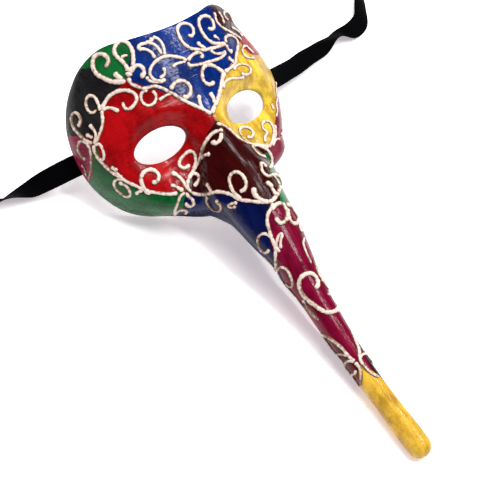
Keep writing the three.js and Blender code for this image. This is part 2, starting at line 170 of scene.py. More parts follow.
def dress(tree, made, values):
    # The named sockets of a node, each given its value
    for key, value in values.items():
        feed(tree, value, made.inputs[key])


def maths(tree, operation, a, b, clamp=False):
    # One sum of two values, each a socket or a number. Plus, minus and times are its common kinds.
    made = node(tree, "ShaderNodeMath", operation=operation, use_clamp=clamp)
    feed(tree, a, made.inputs[0])
    feed(tree, b, made.inputs[1])
    return made.outputs[0]


def plus(tree, a, b, clamp=False):
    return maths(tree, "ADD", a, b, clamp)


def minus(tree, a, b):
    return maths(tree, "SUBTRACT", a, b)


def times(tree, a, b):
    return maths(tree, "MULTIPLY", a, b)


def mixColour(tree, factor, a, b, blend="MIX"):
    # Two colours mixed by a factor, each a socket or a colour
    made = node(tree, "ShaderNodeMix", data_type="RGBA", blend_type=blend)
    for key, value in ((0, factor), (6, a), (7, b)):
        feed(tree, value, made.inputs[key])
    return made.outputs[2]


def ranged(tree, value, to, source=(0.0, 1.0), interpolation="LINEAR"):
    # A value moved from one range to another and held at its ends
    made = node(tree, "ShaderNodeMapRange", interpolation_type=interpolation)
    for key, end in zip(("From Min", "From Max", "To Min", "To Max"), (*source, *to)):
        feed(tree, end, made.inputs[key])
    feed(tree, value, made.inputs["Value"])
    return made.outputs["Result"]


def ramp(tree, value, low, high):
    # 0 below one value, 1 above another, smooth between
    return ranged(tree, value, (0.0, 1.0), (low, high), "SMOOTHSTEP")


def noise(tree, coordinate, scale, detail=3.0, roughness=0.55, stretch=None):
    # Noise of a given number of cells per metre, drawn out along an axis where stretch says so
    if stretch is not None:
        mapping = node(tree, "ShaderNodeMapping", Scale=stretch)
        feed(tree, coordinate, mapping.inputs["Vector"])
        coordinate = mapping.outputs["Vector"]
    made = node(tree, "ShaderNodeTexNoise", Scale=scale, Detail=detail, Roughness=roughness)
    feed(tree, coordinate, made.inputs["Vector"])
    return made.outputs["Fac"]


def bumped(tree, height, strength, distance):
    # A normal bent by a height, at a strength and over a depth in metres
    made = node(tree, "ShaderNodeBump", Strength=strength, Distance=distance)
    feed(tree, height, made.inputs["Height"])
    return made.outputs["Normal"]


def objectPlace(tree):
    # Where a point lies on its own piece, in metres
    return node(tree, "ShaderNodeTexCoord").outputs["Object"]


def attribute(tree, name):
    # A number that the mesh keeps at each point
    return node(tree, "ShaderNodeAttribute", attribute_name=name).outputs["Fac"]


def meshObject(name, points, faces, smoothAngle=40.0):
    # A smooth-shaded mesh from points in metres, with its edges sharper than an angle kept crisp
    mesh = bpy.data.meshes.new(name)
    mesh.from_pydata([tuple(p) for p in np.asarray(points, float)], [], [tuple(f) for f in faces])
    mesh.validate()
    mesh.shade_smooth()
    mesh.set_sharp_from_angle(angle=math.radians(smoothAngle))
    obj = bpy.data.objects.new(name, mesh)
    bpy.context.scene.collection.objects.link(obj)
    return obj


def setAttribute(mesh, name, values):
    # A number kept at each point of a mesh
    mesh.attributes.new(name, "FLOAT", "POINT").data.foreach_set("value", np.asarray(values, np.float32))


def maskPoints(mesh):
    # The points of a mesh in the mask's frame
    flat = np.empty(len(mesh.vertices) * 3)
    mesh.vertices.foreach_get("co", flat)
    return unplace(flat.reshape(-1, 3))


def roundAngles(count):
    # Equal steps of angle round a circle, in radians
    return 2 * np.pi * np.arange(count) / count


def band(a, b, count):
    # Quads between two closed rings of points that start at a and at b
    return [(a + j, a + (j + 1) % count, b + (j + 1) % count, b + j) for j in range(count)]


def tubeFaces(rings, count):
    # Quads along a tube of closed rings, and one face over each end
    faces = []
    for i in range(rings - 1):
        faces += band(i * count, (i + 1) * count, count)
    faces.append(tuple(range(count))[::-1])
    faces.append(tuple((rings - 1) * count + j for j in range(count)))
    return faces


def runAlong(points, root=False):
    # Length along a line up to each of its points, or the sum of the square roots of its steps
    steps = np.linalg.norm(np.diff(points, axis=0), axis=1)
    return np.concatenate([[0], np.cumsum(np.sqrt(steps) if root else steps)])


def resampled(points, run, count):
    # A number of points at equal steps of the run along a line
    at = np.linspace(0, run[-1], count)
    return np.stack([np.interp(at, run, points[:, k]) for k in range(points.shape[1])], -1)


def slopes(keys, values):
    # Slope at each key: the mean of the slopes on both sides, weighted towards the shorter one
    keys = np.asarray(keys, float)
    step = np.diff(keys)
    rate = np.diff(values, axis=-1) / step
    inner = (rate[..., 1:] * step[:-1] + rate[..., :-1] * step[1:]) / (step[:-1] + step[1:])
    return np.concatenate([rate[..., :1], inner, rate[..., -1:]], -1)


def curveThrough(keys, values, x):
    # Smooth curve through named values: a cubic between each two keys, level with its neighbours' slopes
    keys = np.asarray(keys, float)
    values = np.asarray(values, float)
    tangent = slopes(keys, values)
    at = np.clip(x, keys[0], keys[-1])
    i = np.clip(np.searchsorted(keys, at, side="right") - 1, 0, len(keys) - 2)
    span = keys[i + 1] - keys[i]
    t = (at - keys[i]) / span
    return (
        values[i] * (1 + 2 * t) * (1 - t) ** 2
        + tangent[i] * span * t * (1 - t) ** 2
        + values[i + 1] * t * t * (3 - 2 * t)
        + tangent[i + 1] * span * t * t * (t - 1)
    )


def mirroredCurve(keys, values, x, sign=1):
    # The same curve, with its first and last values mirrored past both ends
    wideKeys = [2 * keys[0] - keys[1], *keys, 2 * keys[-1] - keys[-2]]
    wideValues = [sign * values[1], *values, sign * values[-2]]
    return curveThrough(wideKeys, wideValues, x)


def smoothStep(low, high, x):
    # 0 at low, 1 at high, level at both
    t = np.clip((x - low) / (high - low), 0, 1)
    return t * t * (3 - 2 * t)


# Shape of the mask, the same values as in the part. Where a key ends in Fade, Above, Below, Aside, Along or
# Round and holds two numbers, they are where a change starts and where it ends. Each entry of steeperRound
# adds to the steepness of the sides between two angles. A seating is how far a ring may move to the outer
# form and how often it is evened out after that.
form = {
    "wall": 2.8,
    "eyeX": 36.0,
    "eyeHalf": (18.5, 10.8),
    "eyeTiltDeg": -3.0,
    "socketHalf": 33.0,
    "socketAbove": 23.0,
    "socketBelow": 28.75,
    "socketDepth": 11.0,
    "socketFade": (0.25, 1.12),
    "browHeight": 1.2,
    "browHalf": (30.0, 21.0),
    "browAt": 1.02,
    "browSpread": 0.22,
    "browAbove": (-4, 10),
    "browFade": (20, 40),
    "browShift": 4,
    "cheek": (51.0, -38.0),
    "cheekSize": (19.0, 16.0),
    "cheekRise": 9.0,
    "crown": 52.0,
    "crownDropBelow": 14.0,
    "crownBelow": (8, -48),
    "crownDropAside": 5.0,
    "crownAside": (30, 75),
    "steepness": 1.75,
    "steeperRound": [(0.7, 50, 90), (2.1, 96, 134), (5, 122, 140)],
    "faceCentreY": 8.0,
    "noseRootY": -108.0,
    "rim": [
        (0, 70, 46), (28, 72, 40), (47.5, 73.4, 29), (60, 67, 19), (69, 55, 8), (78, 35, 1), (81, 12, 0),
        (79, -5, 0), (71.5, -22, 0), (60, -36, 0), (46, -45, 3.5), (29, -51, 16), (13, -58, 28),
        (0, -61, 32),
    ],
    "nose": [
        (-236, 139.6, 7.9), (-228, 134.8, 8.2), (-210, 124.4, 7.7), (-190, 113.6, 7.6), (-170, 104, 8.2),
        (-150, 95.2, 9.2), (-132, 89, 10.2), (-118, 84.2, 11.8), (-102, 79, 14.6), (-80, 70, 19.8),
        (-60, 61.5, 22.6), (-40, 54.5, 23.5), (-20, 49, 16.5), (0, 42.5, 11), (16, 38, 7),
    ],
    "guides": [
        [(0, -103, 92), (0, -72, 86.5), (0, -36, 73), (0, 4, 55), (0, 42, 52), (0, 70, 46)],
        [(9, -105, 88), (13.5, -77, 80), (17, -42, 65), (28, 5, 46), (50, 38, 41), (66, 60, 13)],
        [(14, -108, 79), (19.5, -82, 66), (26, -50, 46), (45, -16, 36), (70, 2, 31), (81, 8, 0)],
        [(10, -111, 69), (14, -92, 57), (19, -69, 47), (29, -46, 35), (44, -42.5, 20), (53, -41, 2)],
        [(0, -114, 65.5), (0, -95, 55.5), (0, -78.5, 47), (0, -69, 41.5), (0, -62, 36), (0, -61, 32)],
    ],
    "guideTurns": [0, 45, 90, 135, 180],
    "guideStations": [0, 0.2, 0.4, 0.6, 0.8, 1],
    "around": 52,
    "noseRings": 15,
    "faceRings": 24,
    "seatings": [(16, 3), (8, 0)],
    "seatBlur": 10,
    "lipAlong": (0.5, 1),
    "lipRound": (125, 165),
}

# Where the nose meets the face: how the face's distance is weighed, how the nose's section narrows towards
# its ridge and deepens below, and the fillet between them, all as in the part. The last three say how finely
# a point on the outer form and its direction are searched for.
meeting = {
    "faceWeight": 0.75,
    "rimPush": 60,
    "root": (-108, -64),
    "lower": (-118, -96),
    "lowerBelow": (6, -8),
    "narrow": 0.2,
    "ridge": (0, 24),
    "deepen": 0.09,
    "keel": (0, -16),
    "fillet": 12,
    "filletMore": 22,
    "filletOver": (-12, -50),
    "filletDepth": 0.25,
    "footTurns": 5,
    "halvings": 22,
    "probe": 0.2,
}

# The scene's shell is the part's made finer, with the folds beside the nose evened out: how many times finer,
# how it is seated again, the rings of the tip's cap, and how a fold is found and put right
finer = {
    "times": 5,
    "blur": 6,
    "reach": 4,
    "capRings": 6,
    "wallBlur": 8,
    "innerSkip": 2,
    "foldFacing": 0.5,
    "foldKept": 0.3,
    "foldGrow": 8,
    "foldBlur": 80,
    "foldTurns": 6,
    "foldSeatings": 3,
    "foldStep": 1.5,
    "foldSlope": 0.05,
}

rimX, rimY, rimZ = np.array(form["rim"], float).T
rimAngles = np.degrees(np.arctan2(rimX, rimY - form["faceCentreY"]))
rimRadii = np.hypot(rimX, rimY - form["faceCentreY"])
noseY, noseZ, noseR = np.array(form["nose"], float).T


def rimPoint(angleDeg):
    # Rim point at an angle clockwise from the top of the forehead, on curves through the named points
    half = 180 - np.abs(180 - angleDeg)
    radius = mirroredCurve(rimAngles, rimRadii, half)
    height = mirroredCurve(rimAngles, rimZ, half)
    a = np.radians(angleDeg)
    return np.stack([radius * np.sin(a), form["faceCentreY"] + radius * np.cos(a), height], -1)


def eyeFrame(x, y):
    # Place in the frame of the nearer eye: along it away from the nose, and up the face
    tilt = math.radians(form["eyeTiltDeg"])
    dx = np.abs(x) - form["eyeX"]
    return dx * math.cos(tilt) + y * math.sin(tilt), y * math.cos(tilt) - dx * math.sin(tilt)


def faceHeight(x, y):
    # Dome over the rim with steep sides, lowered at the sockets and raised at brows and cheeks.
    # Also how far out towards the rim the point lies, 1 at the rim.
    side = np.abs(x)
    angle = np.degrees(np.arctan2(side, y - form["faceCentreY"]))
    out = np.hypot(x, y - form["faceCentreY"]) / mirroredCurve(rimAngles, rimRadii, angle)
    base = mirroredCurve(rimAngles, rimZ, angle)
    top = form["crown"] - form["crownDropBelow"] * smoothStep(*form["crownBelow"], y)
    top = top - form["crownDropAside"] * smoothStep(*form["crownAside"], side)
    u, v = eyeFrame(x, y)
    reach = np.where(v > 0, form["socketAbove"], form["socketBelow"])
    inSocket = np.hypot(u / form["socketHalf"], v / reach)
    top = top - form["socketDepth"] * (1 - smoothStep(*form["socketFade"], inSocket))
    onBrow = np.hypot(u / form["browHalf"][0], v / form["browHalf"][1])
    bump = np.exp(-(((onBrow - form["browAt"]) / form["browSpread"]) ** 2))
    bump = form["browHeight"] * bump * smoothStep(*form["browAbove"], v)
    top = top + bump * (1 - smoothStep(*form["browFade"], np.abs(u + form["browShift"])))
    cheekX = (side - form["cheek"][0]) / form["cheekSize"][0]
    cheekY = (y - form["cheek"][1]) / form["cheekSize"][1]
    top = top + form["cheekRise"] * np.exp(-(cheekX**2) - cheekY**2)
    power = form["steepness"]
    for more, low, high in form["steeperRound"]:
        power = power + more * smoothStep(low, high, angle)
    dome = (1 - np.minimum(out, 1) ** power) ** (1 / power)
    return base + (top - base) * dome, out


def noseLine(y):
    # Centre line of the nose at y: its height and slope
    slope = curveThrough(noseY, noseZ, y + 0.5) - curveThrough(noseY, noseZ, y - 0.5)
    return curveThrough(noseY, noseZ, y), slope


def noseFoot(x, y, z):
    # Nearest station of the nose's centre line, and the place above it and along it
    foot = np.clip(y, noseY[0], noseY[-1])
    for _ in range(meeting["footTurns"]):
        lineZ, slope = noseLine(foot)
        foot = np.clip((y + (z - lineZ) * slope + slope**2 * foot) / (1 + slope**2), noseY[0], noseY[-1])
    lineZ, slope = noseLine(foot)
    length = np.sqrt(1 + slope**2)
    above = ((z - lineZ) - (y - foot) * slope) / length
    along = ((y - foot) + (z - lineZ) * slope) / length
    return foot, above, along


def outside(x, y, z):
    # Below zero inside the mask's outer form: face and nose, joined by a fillet that grows downwards.
    # The nose's section narrows towards its ridge near the face.
    height, out = faceHeight(x, y)
    face = (z - height) * meeting["faceWeight"] + meeting["rimPush"] * np.maximum(out - 1, 0)
    foot, above, along = noseFoot(x, y, z)
    root = smoothStep(*meeting["root"], foot)
    lower = smoothStep(*meeting["lower"], foot) * smoothStep(*meeting["lowerBelow"], above)
    narrow = 1 + meeting["narrow"] * root * smoothStep(*meeting["ridge"], above) + meeting["narrow"] * lower
    deepen = 1 - meeting["deepen"] * root * smoothStep(*meeting["keel"], above)
    nose = np.sqrt((x * narrow) ** 2 + (above * deepen) ** 2 + along**2) - curveThrough(noseY, noseR, foot)
    fillet = meeting["fillet"] + meeting["filletMore"] * smoothStep(*meeting["filletOver"], y)
    near = np.maximum(fillet - np.abs(face - nose), 0) / fillet
    return np.minimum(face, nose) - near * near * fillet * meeting["filletDepth"]


def meet(points, directions, reach):
    # Where each direction crosses the outer form within a reach either way, by halving
    low = np.full(points.shape[:-1], -float(reach))
    high = -low
    for _ in range(meeting["halvings"]):
        middle = (low + high) / 2
        p = points + directions * middle[..., None]
        inside = outside(p[..., 0], p[..., 1], p[..., 2]) < 0
        low = np.where(inside, middle, low)
        high = np.where(inside, high, middle)
    return points + directions * ((low + high) / 2)[..., None]


def steepest(points):
    # The outward direction of the outer form, from differences over a short way
    d = meeting["probe"]
    x, y, z = points[..., 0], points[..., 1], points[..., 2]
    return np.stack([
        outside(x + d, y, z) - outside(x - d, y, z),
        outside(x, y + d, z) - outside(x, y - d, z),
        outside(x, y, z + d) - outside(x, y, z - d),
    ], -1) / (2 * d)


def ringNormals(rings):
    # Outward direction at each point of the rings: the way round crossed with the way along
    before = rings[np.maximum(np.arange(len(rings)) - 1, 0)]
    after = rings[np.minimum(np.arange(len(rings)) + 1, len(rings) - 1)]
    around = np.roll(rings, -1, 1) - np.roll(rings, 1, 1)
    return unit(np.cross(around, after - before))


def blurRings(rings, times):
    # Each point averaged with its four neighbours, with the first and last rings kept
    rings = rings.copy()
    for _ in range(times):
        aside = np.roll(rings, -1, 1)[1:-1]
        inner = 4 * rings[1:-1] + rings[:-2] + rings[2:] + aside + np.roll(rings, 1, 1)[1:-1]
        rings[1:-1] = inner / 8
    return rings


def lipShare(rings, fineness, half):
    # 1 on the lip under the nose, which keeps to its guide lines, and 0 elsewhere
    t = (np.arange(len(rings)) / fineness - form["noseRings"]) / form["faceRings"]
    return smoothStep(*form["lipAlong"], t)[:, None] * smoothStep(*form["lipRound"], half)[None, :]


def coarseRings():
    # The same rings as the part's: round the nose from its tip, then between the guide lines to the rim,
    # moved twice onto the outer form along evened-out normals
    count = form["around"]
    a = roundAngles(count)
    rings = []
    for i in range(form["noseRings"]):
        y = noseY[0] + (form["noseRootY"] - noseY[0]) * i / form["noseRings"]
        z, slope = noseLine(y)
        up = unit([0, -slope, 1])
        radius = curveThrough(noseY, noseR, y)
        across = np.stack([np.sin(a), 0 * a, 0 * a], -1)
        rings.append(np.array([0, y, z]) + radius * (np.cos(a)[:, None] * up + across))
    turns = form["guideTurns"]
    stations = form["guideStations"]
    angle = np.degrees(a)
    half = 180 - np.abs(180 - angle)
    side = np.where(angle > 180, -1.0, 1.0)
    net = np.array(form["guides"], float)
    lines = np.array([
        [mirroredCurve(turns, net[:, s, axis], half, -1 if axis == 0 else 1) for axis in range(3)]
        for s in range(len(stations))
    ])
    lines[:, 0] *= side
    flat = lines.reshape(len(stations), -1).T
    for i in range(form["faceRings"] + 1):
        t = i / form["faceRings"]
        rings.append(np.array([curveThrough(stations, row, t) for row in flat]).reshape(3, count).T)
    rings = np.array(rings)
    rings[-1] = rimPoint(angle)
    guide = rings.copy()
    lip = lipShare(rings, 1, half)[..., None]
    for reach, blur in form["seatings"]:
        directions = unit(blurRings(ringNormals(rings), form["seatBlur"]))
        moved = meet(rings, directions, reach)
        moved = moved * (1 - lip) + guide * lip
        moved[-1] = rings[-1]
        rings = blurRings(moved, blur)
    return rings


def refineAlong(values, fineness, closed):
    # Points between points along the first axis, on a cubic through each and its neighbours
    count = len(values)
    total = count * fineness if closed else (count - 1) * fineness + 1
    at = np.arange(total) / fineness
    i = np.minimum(at.astype(int), count - 1)
    t = (at - i).reshape(-1, *([1] * (values.ndim - 1)))

    def pick(k):
        return values[k % count] if closed else values[np.clip(k, 0, count - 1)]

    p0, p1, p2, p3 = pick(i - 1), pick(i), pick(i + 1), pick(i + 2)
    bend = 2 * p0 - 5 * p1 + 4 * p2 - p3
    return 0.5 * (2 * p1 + (p2 - p0) * t + bend * t**2 + (3 * p1 - p0 - 3 * p2 + p3) * t**3)


def evenFolds(rings, kept):
    # Where the rings fold over in the hollow beside the nose, facing away from the form, they are evened out
    # over a wider patch and put back on the form by its height over its slope
    grow = finer["foldGrow"]
    for _ in range(finer["foldTurns"]):
        facing = np.sum(ringNormals(rings) * unit(steepest(rings)), -1)
        fold = ((facing < finer["foldFacing"]) & (kept < finer["foldKept"])).astype(float)
        if not fold.any():
            break
        for _ in range(grow):
            beside = [np.roll(fold, shift, axis) for shift in (-1, 1) for axis in (0, 1)]
            fold = np.maximum.reduce([fold, *beside])
        mask = blurRings(fold[..., None], grow) * (1 - kept[..., None])
        rings = rings * (1 - mask) + blurRings(rings, finer["foldBlur"]) * mask
        for _ in range(finer["foldSeatings"]):
            slope = steepest(rings)
            height = outside(rings[..., 0], rings[..., 1], rings[..., 2])
            step = height / np.maximum(np.sum(slope**2, -1), finer["foldSlope"])
            rings = rings - mask * np.clip(step, -finer["foldStep"], finer["foldStep"])[..., None] * slope
    return rings


def fineRings():
    # The part's rings made finer, then moved onto the outer form once more
    rings = refineAlong(coarseRings(), finer["times"], False)
    rings = np.swapaxes(refineAlong(np.swapaxes(rings, 0, 1), finer["times"], True), 0, 1)
    count = rings.shape[1]
    angle = 360 * np.arange(count) / count
    keep = lipShare(rings, finer["times"], 180 - np.abs(180 - angle))
    moved = meet(rings, unit(blurRings(ringNormals(rings), finer["blur"])), finer["reach"])
    moved = moved * (1 - keep[..., None]) + rings * keep[..., None]
    moved = evenFolds(moved, keep)
    moved[-1] = rimPoint(angle)
    return moved


def capRings(count, many):
    # Rings of a round cap on the nose tip, from near its pole to its edge, and the pole
    a = roundAngles(count)
    z, slope = noseLine(noseY[0])
    up = unit([0, -slope, 1])
    ahead = unit([0, -1, -slope])
    across = np.stack([np.sin(a), 0 * a, 0 * a], -1)
    turn = np.cos(a)[:, None] * up + across
    centre = np.array([0, noseY[0], z])
    radius = noseR[0]
    rings = []
    for i in range(1, many + 1):
        b = i / (many + 1) * np.pi / 2
        rings.append(centre + radius * math.cos(b) * ahead + radius * math.sin(b) * turn)
    return np.array(rings), centre + radius * ahead


def skinFaces(start, rings, count, pole, outward):
    # Quads between each two rings and a fan at the pole, facing out or in
    faces = [(pole, start + (j + 1) % count, start + j) for j in range(count)]
    for i in range(rings - 1):
        faces += band(start + i * count, start + (i + 1) * count, count)
    return faces if outward else [f[::-1] for f in faces]


def shellMesh():
    # Outer skin, inner skin a wall's thickness below it on every other ring, and the band along the rim
    main = fineRings()
    count = main.shape[1]
    cap, pole = capRings(count, finer["capRings"])
    outer = np.concatenate([cap, main])
    normals = unit(blurRings(ringNormals(outer), finer["wallBlur"]))
    inner = outer - normals * form["wall"]
    inner[-1, :, 2] = np.maximum(inner[-1, :, 2], 0)
    inner = inner[[i for i in range(len(cap), len(outer)) if (len(outer) - 1 - i) % finer["innerSkip"] == 0]]
    points = np.concatenate([[pole], outer.reshape(-1, 3), [inner[0].mean(0)], inner.reshape(-1, 3)])
    outerStart = 1
    innerPole = outerStart + len(outer) * count
    innerStart = innerPole + 1
    faces = skinFaces(outerStart, len(outer), count, 0, True)
    faces += skinFaces(innerStart, len(inner), count, innerPole, False)
    faces += band(innerPole - count, innerStart + (len(inner) - 1) * count, count)
    return points, faces, innerPole


shellPoints, shellFaces, outerCount = shellMesh()
print("shell points", len(shellPoints), "faces", len(shellFaces))
outerTree = BVHTree.FromPolygons(
    [Vector(p) for p in place(shellPoints[:outerCount])], [f for f in shellFaces if max(f) < outerCount]
)


# Ribbons: satin strips glued inside the rim, lying loose to a coil of their unseen length.
# Each point of a route is the middle of the strip in millimetres, then where its upper edge lies from it,
# as a compass angle from +X and a lean above level. The left route is the part's. The right one twists more
# between x 160 and 230, and lies up to 5 mm from the part's there.
ribbon = {
    "width": 15.0,
    "thickness": 0.5,
    "length": 500.0,
    "step": 3.0,
    "offFloor": 0.05,
    "coilRadius": 41.0,
    "coilPitch": 6.0,
    "cup": 0.35,
    "across": 9,
    "edgeThin": 0.6,
    "edgePower": 8,
    "leastHeight": 0.02,
    "densePerPoint": 60,
    "exitPoint": 2,
    "sharpDeg": 60,
    "colour": (0.0009, 0.0009, 0.0014),
    "shine": 0.04,
    "roughness": 0.70,
    "glossNoise": (60.0, 2.0),
    "glossChange": (-0.06, 0.1),
    "weave": (3600.0, 1.0),
    "weaveBump": (0.12, 0.0002),
    "routes": {
        "left": {
            "points": [
                (-74, 118.3, 39.3, 90, 34), (-75, 122.3, 33.4, 90, 34), (-76.6, 126.2, 27.8, 90, 34),
                (-80, 128.4, 24.2, 90, 34), (-86, 130.2, 20.8, 90, 30), (-93, 132.8, 15.6, 90, 20),
                (-101, 135.4, 10.2, 90, 8), (-110, 137.4, 5.4, 90, -10), (-120, 138, 5, 90, -36),
                (-131, 137.6, 6.6, 90, -62), (-143, 138.2, 7.8, 90, -84), (-165, 141, 7.8, 90, -90),
            ],
            "heading": (-1.0, 0.0),
            "turn": -1,
        },
        "right": {
            "points": [
                (74, 118.3, 39.3, 90, 34), (75, 122.3, 33.4, 90, 34), (76.6, 126.2, 27.8, 90, 34),
                (80, 128.4, 24.2, 90, 34), (88, 129.8, 21.4, 94, 32), (98, 132, 17.6, 100, 26),
                (112, 136, 12.4, 106, 16), (127, 140, 7.8, 107, 8), (143, 145, 4, 106, 4),
                (160, 148.4, 1.8, 106, -6), (178, 151.8, 5.5, 60, -36), (196, 151.6, 3, 96, 8),
                (208.5, 156, 4, 126, 26), (217, 167, 5.4, 146, 34), (226, 179, 6.4, 152, 50),
                (238, 200, 7.8, 158, 78), (249, 229.5, 7.8, 159, 90),
            ],
            "heading": (0.35, 0.937),
            "turn": 1,
        },
    },
}


def smoothLine(points, step):
    # Evenly spaced points on a centripetal curve through the given ones, and the curve's length
    p = np.asarray(points, float)
    knots = runAlong(p[:, :3], True)
    fine = np.linspace(0, knots[-1], ribbon["densePerPoint"] * len(p))
    dense = np.stack([curveThrough(knots, p[:, k], fine) for k in range(p.shape[1])], -1)
    run = runAlong(dense[:, :3])
    return resampled(dense, run, max(2, int(round(run[-1] / step)) + 1)), run[-1]


def ribbonLine(route):
    # The free stretch through the named points, then turns of a flat spiral on edge that use up the length:
    # the radius shrinks by the pitch each turn
    line, length = smoothLine(route["points"], ribbon["step"])
    hx, hy = unit(route["heading"])
    turn = route["turn"]
    radius = ribbon["coilRadius"]
    centre = line[-1, :2] + turn * np.array([-hy, hx]) * radius
    first = math.atan2(line[-1, 1] - centre[1], line[-1, 0] - centre[0])
    left = ribbon["length"] - length
    angle = 0.0
    coil = []
    while left > 0:
        r = radius - ribbon["coilPitch"] * angle / (2 * math.pi)
        angle += min(ribbon["step"], left) / r
        left -= ribbon["step"]
        r = radius - ribbon["coilPitch"] * angle / (2 * math.pi)
        a = first + turn * angle
        x = centre[0] + r * math.cos(a)
        y = centre[1] + r * math.sin(a)
        coil.append((x, y, line[-1, 2], math.degrees(a), line[-1, 4]))
    return np.concatenate([line, coil])


def makeRibbon(side):
    # A thin strip with rounded edges, slightly cupped across, swept along its line
    route = ribbon["routes"][side]
    line = ribbonLine(route)
    middle = line[:, :3].copy()
    ahead = unit(np.gradient(middle, axis=0))
    compass = np.radians(line[:, 3])
    lean = np.radians(line[:, 4])
    across = np.stack([np.cos(compass) * np.cos(lean), np.sin(compass) * np.cos(lean), np.sin(lean)], -1)
    across = unit(across - ahead * np.sum(across * ahead, -1, keepdims=True))
    thick = np.cross(ahead, across)
    half = ribbon["width"] / 2
    lowest = np.abs(across[:, 2]) * half + np.abs(thick[:, 2]) * ribbon["thickness"] / 2
    middle[:, 2] = np.maximum(middle[:, 2], lowest + ribbon["offFloor"])
    top = np.linspace(-1, 1, ribbon["across"])
    edge = 1 - ribbon["edgeThin"] * np.abs(top) ** ribbon["edgePower"]
    p = np.concatenate([top, top[::-1]])
    t = np.concatenate([edge, -edge[::-1]])
    lift = ribbon["cup"] * (1 - p * p) * (1 - np.abs(across[:, 2:])) + t * ribbon["thickness"] / 2
    rings = middle[:, None] + across[:, None] * p[None, :, None] * half + thick[:, None] * lift[..., None]
    points = rings.reshape(-1, 3)
    points[:, 2] = np.maximum(points[:, 2], ribbon["leastHeight"])
    faces = tubeFaces(len(rings), len(p))
    obj = meshObject(f"satinRibbon{side.title()}", points / 1000, faces, ribbon["sharpDeg"])
    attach(obj, "root")
    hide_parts(f"ribbon_{side}", f"ribbon_coil_{side}")
    return obj


def satinMaterial():
    # Black satin: a fine weave as bump and slightly uneven gloss
    mat, tree, shader = newMaterial("satinRibbon")
    coordinate = objectPlace(tree)
    weave = noise(tree, coordinate, *ribbon["weave"])
    uneven = noise(tree, coordinate, *ribbon["glossNoise"])
    dress(tree, shader, {
        "Base Color": ribbon["colour"],
        "Specular IOR Level": ribbon["shine"],
        "Roughness": ranged(tree, uneven, [ribbon["roughness"] + change for change in ribbon["glossChange"]]),
        "Normal": bumped(tree, weave, *ribbon["weaveBump"]),
    })
    return mat


satin = satinMaterial()
for ribbonSide in ribbon["routes"]:
    makeRibbon(ribbonSide).data.materials.append(satin)
print("ribbons made")


def dimmed(tree, glossy, strength):
    # A strength that mirror reflections see a set share of
    return times(tree, minus(tree, 1.0, times(tree, glossy, studio["hidden"])), strength)


def makeLamp(name, lamp):
    # A soft rectangular light in its direction from the part, aimed back at it
    data = bpy.data.lights.new(name, "AREA")
    data.shape = "RECTANGLE"
    data.size, data.size_y = lamp["sides"]
    data.energy = lamp["power"]
    a = math.radians(lamp["azimuth"])
    e = math.radians(lamp["elevation"])
    way = Vector((math.cos(a) * math.cos(e), math.sin(a) * math.cos(e), math.sin(e)))
    obj = bpy.data.objects.new(name, data)
    obj.location = Vector(studio["aim"]) + way * studio["lampDistance"]
    obj.rotation_euler = way.to_track_quat("Z", "Y").to_euler()
    obj.visible_glossy = lamp["shines"]
    bpy.context.scene.collection.objects.link(obj)


def makeStudio():
    # A pale floor just under the part, even light from all round, and the lamps
    h = studio["floorSize"] / 2
    floor = meshObject("floor", [(-h, -h, 0), (h, -h, 0), (h, h, 0), (-h, h, 0)], [(0, 1, 2, 3)])
    floor.location.z = -studio["floorDrop"]
    mat, tree, shader = newMaterial("floor")
    glossy = node(tree, "ShaderNodeLightPath").outputs["Is Glossy Ray"]
    away = node(tree, "ShaderNodeVectorMath", operation="LENGTH")
    feed(tree, objectPlace(tree), away.inputs[0])
    glow = ranged(tree, away.outputs["Value"], studio["glow"], studio["glowReach"])
    dress(tree, shader, {
        "Base Color": studio["floorColour"],
        "Roughness": studio["floorRoughness"],
        "Specular IOR Level": studio["floorShine"],
        "Emission Color": studio["glowColour"],
        "Emission Strength": dimmed(tree, glossy, glow),
    })
    floor.data.materials.append(mat)
    world = bpy.data.worlds.new("studio")
    world.use_nodes = True
    sky = world.node_tree
    rays = node(sky, "ShaderNodeLightPath").outputs
    low = dimmed(sky, rays["Is Glossy Ray"], studio["worldStrength"])
    strength = ranged(sky, rays["Is Camera Ray"], (low, studio["backdropStrength"]))
    dress(sky, sky.nodes["Background"], {"Color": studio["worldColour"], "Strength": strength})
    bpy.context.scene.world = world
    for name, lamp in studio["lamps"].items():
        makeLamp(name, lamp)
    bpy.context.scene.view_settings.view_transform = "Standard"


makeStudio()


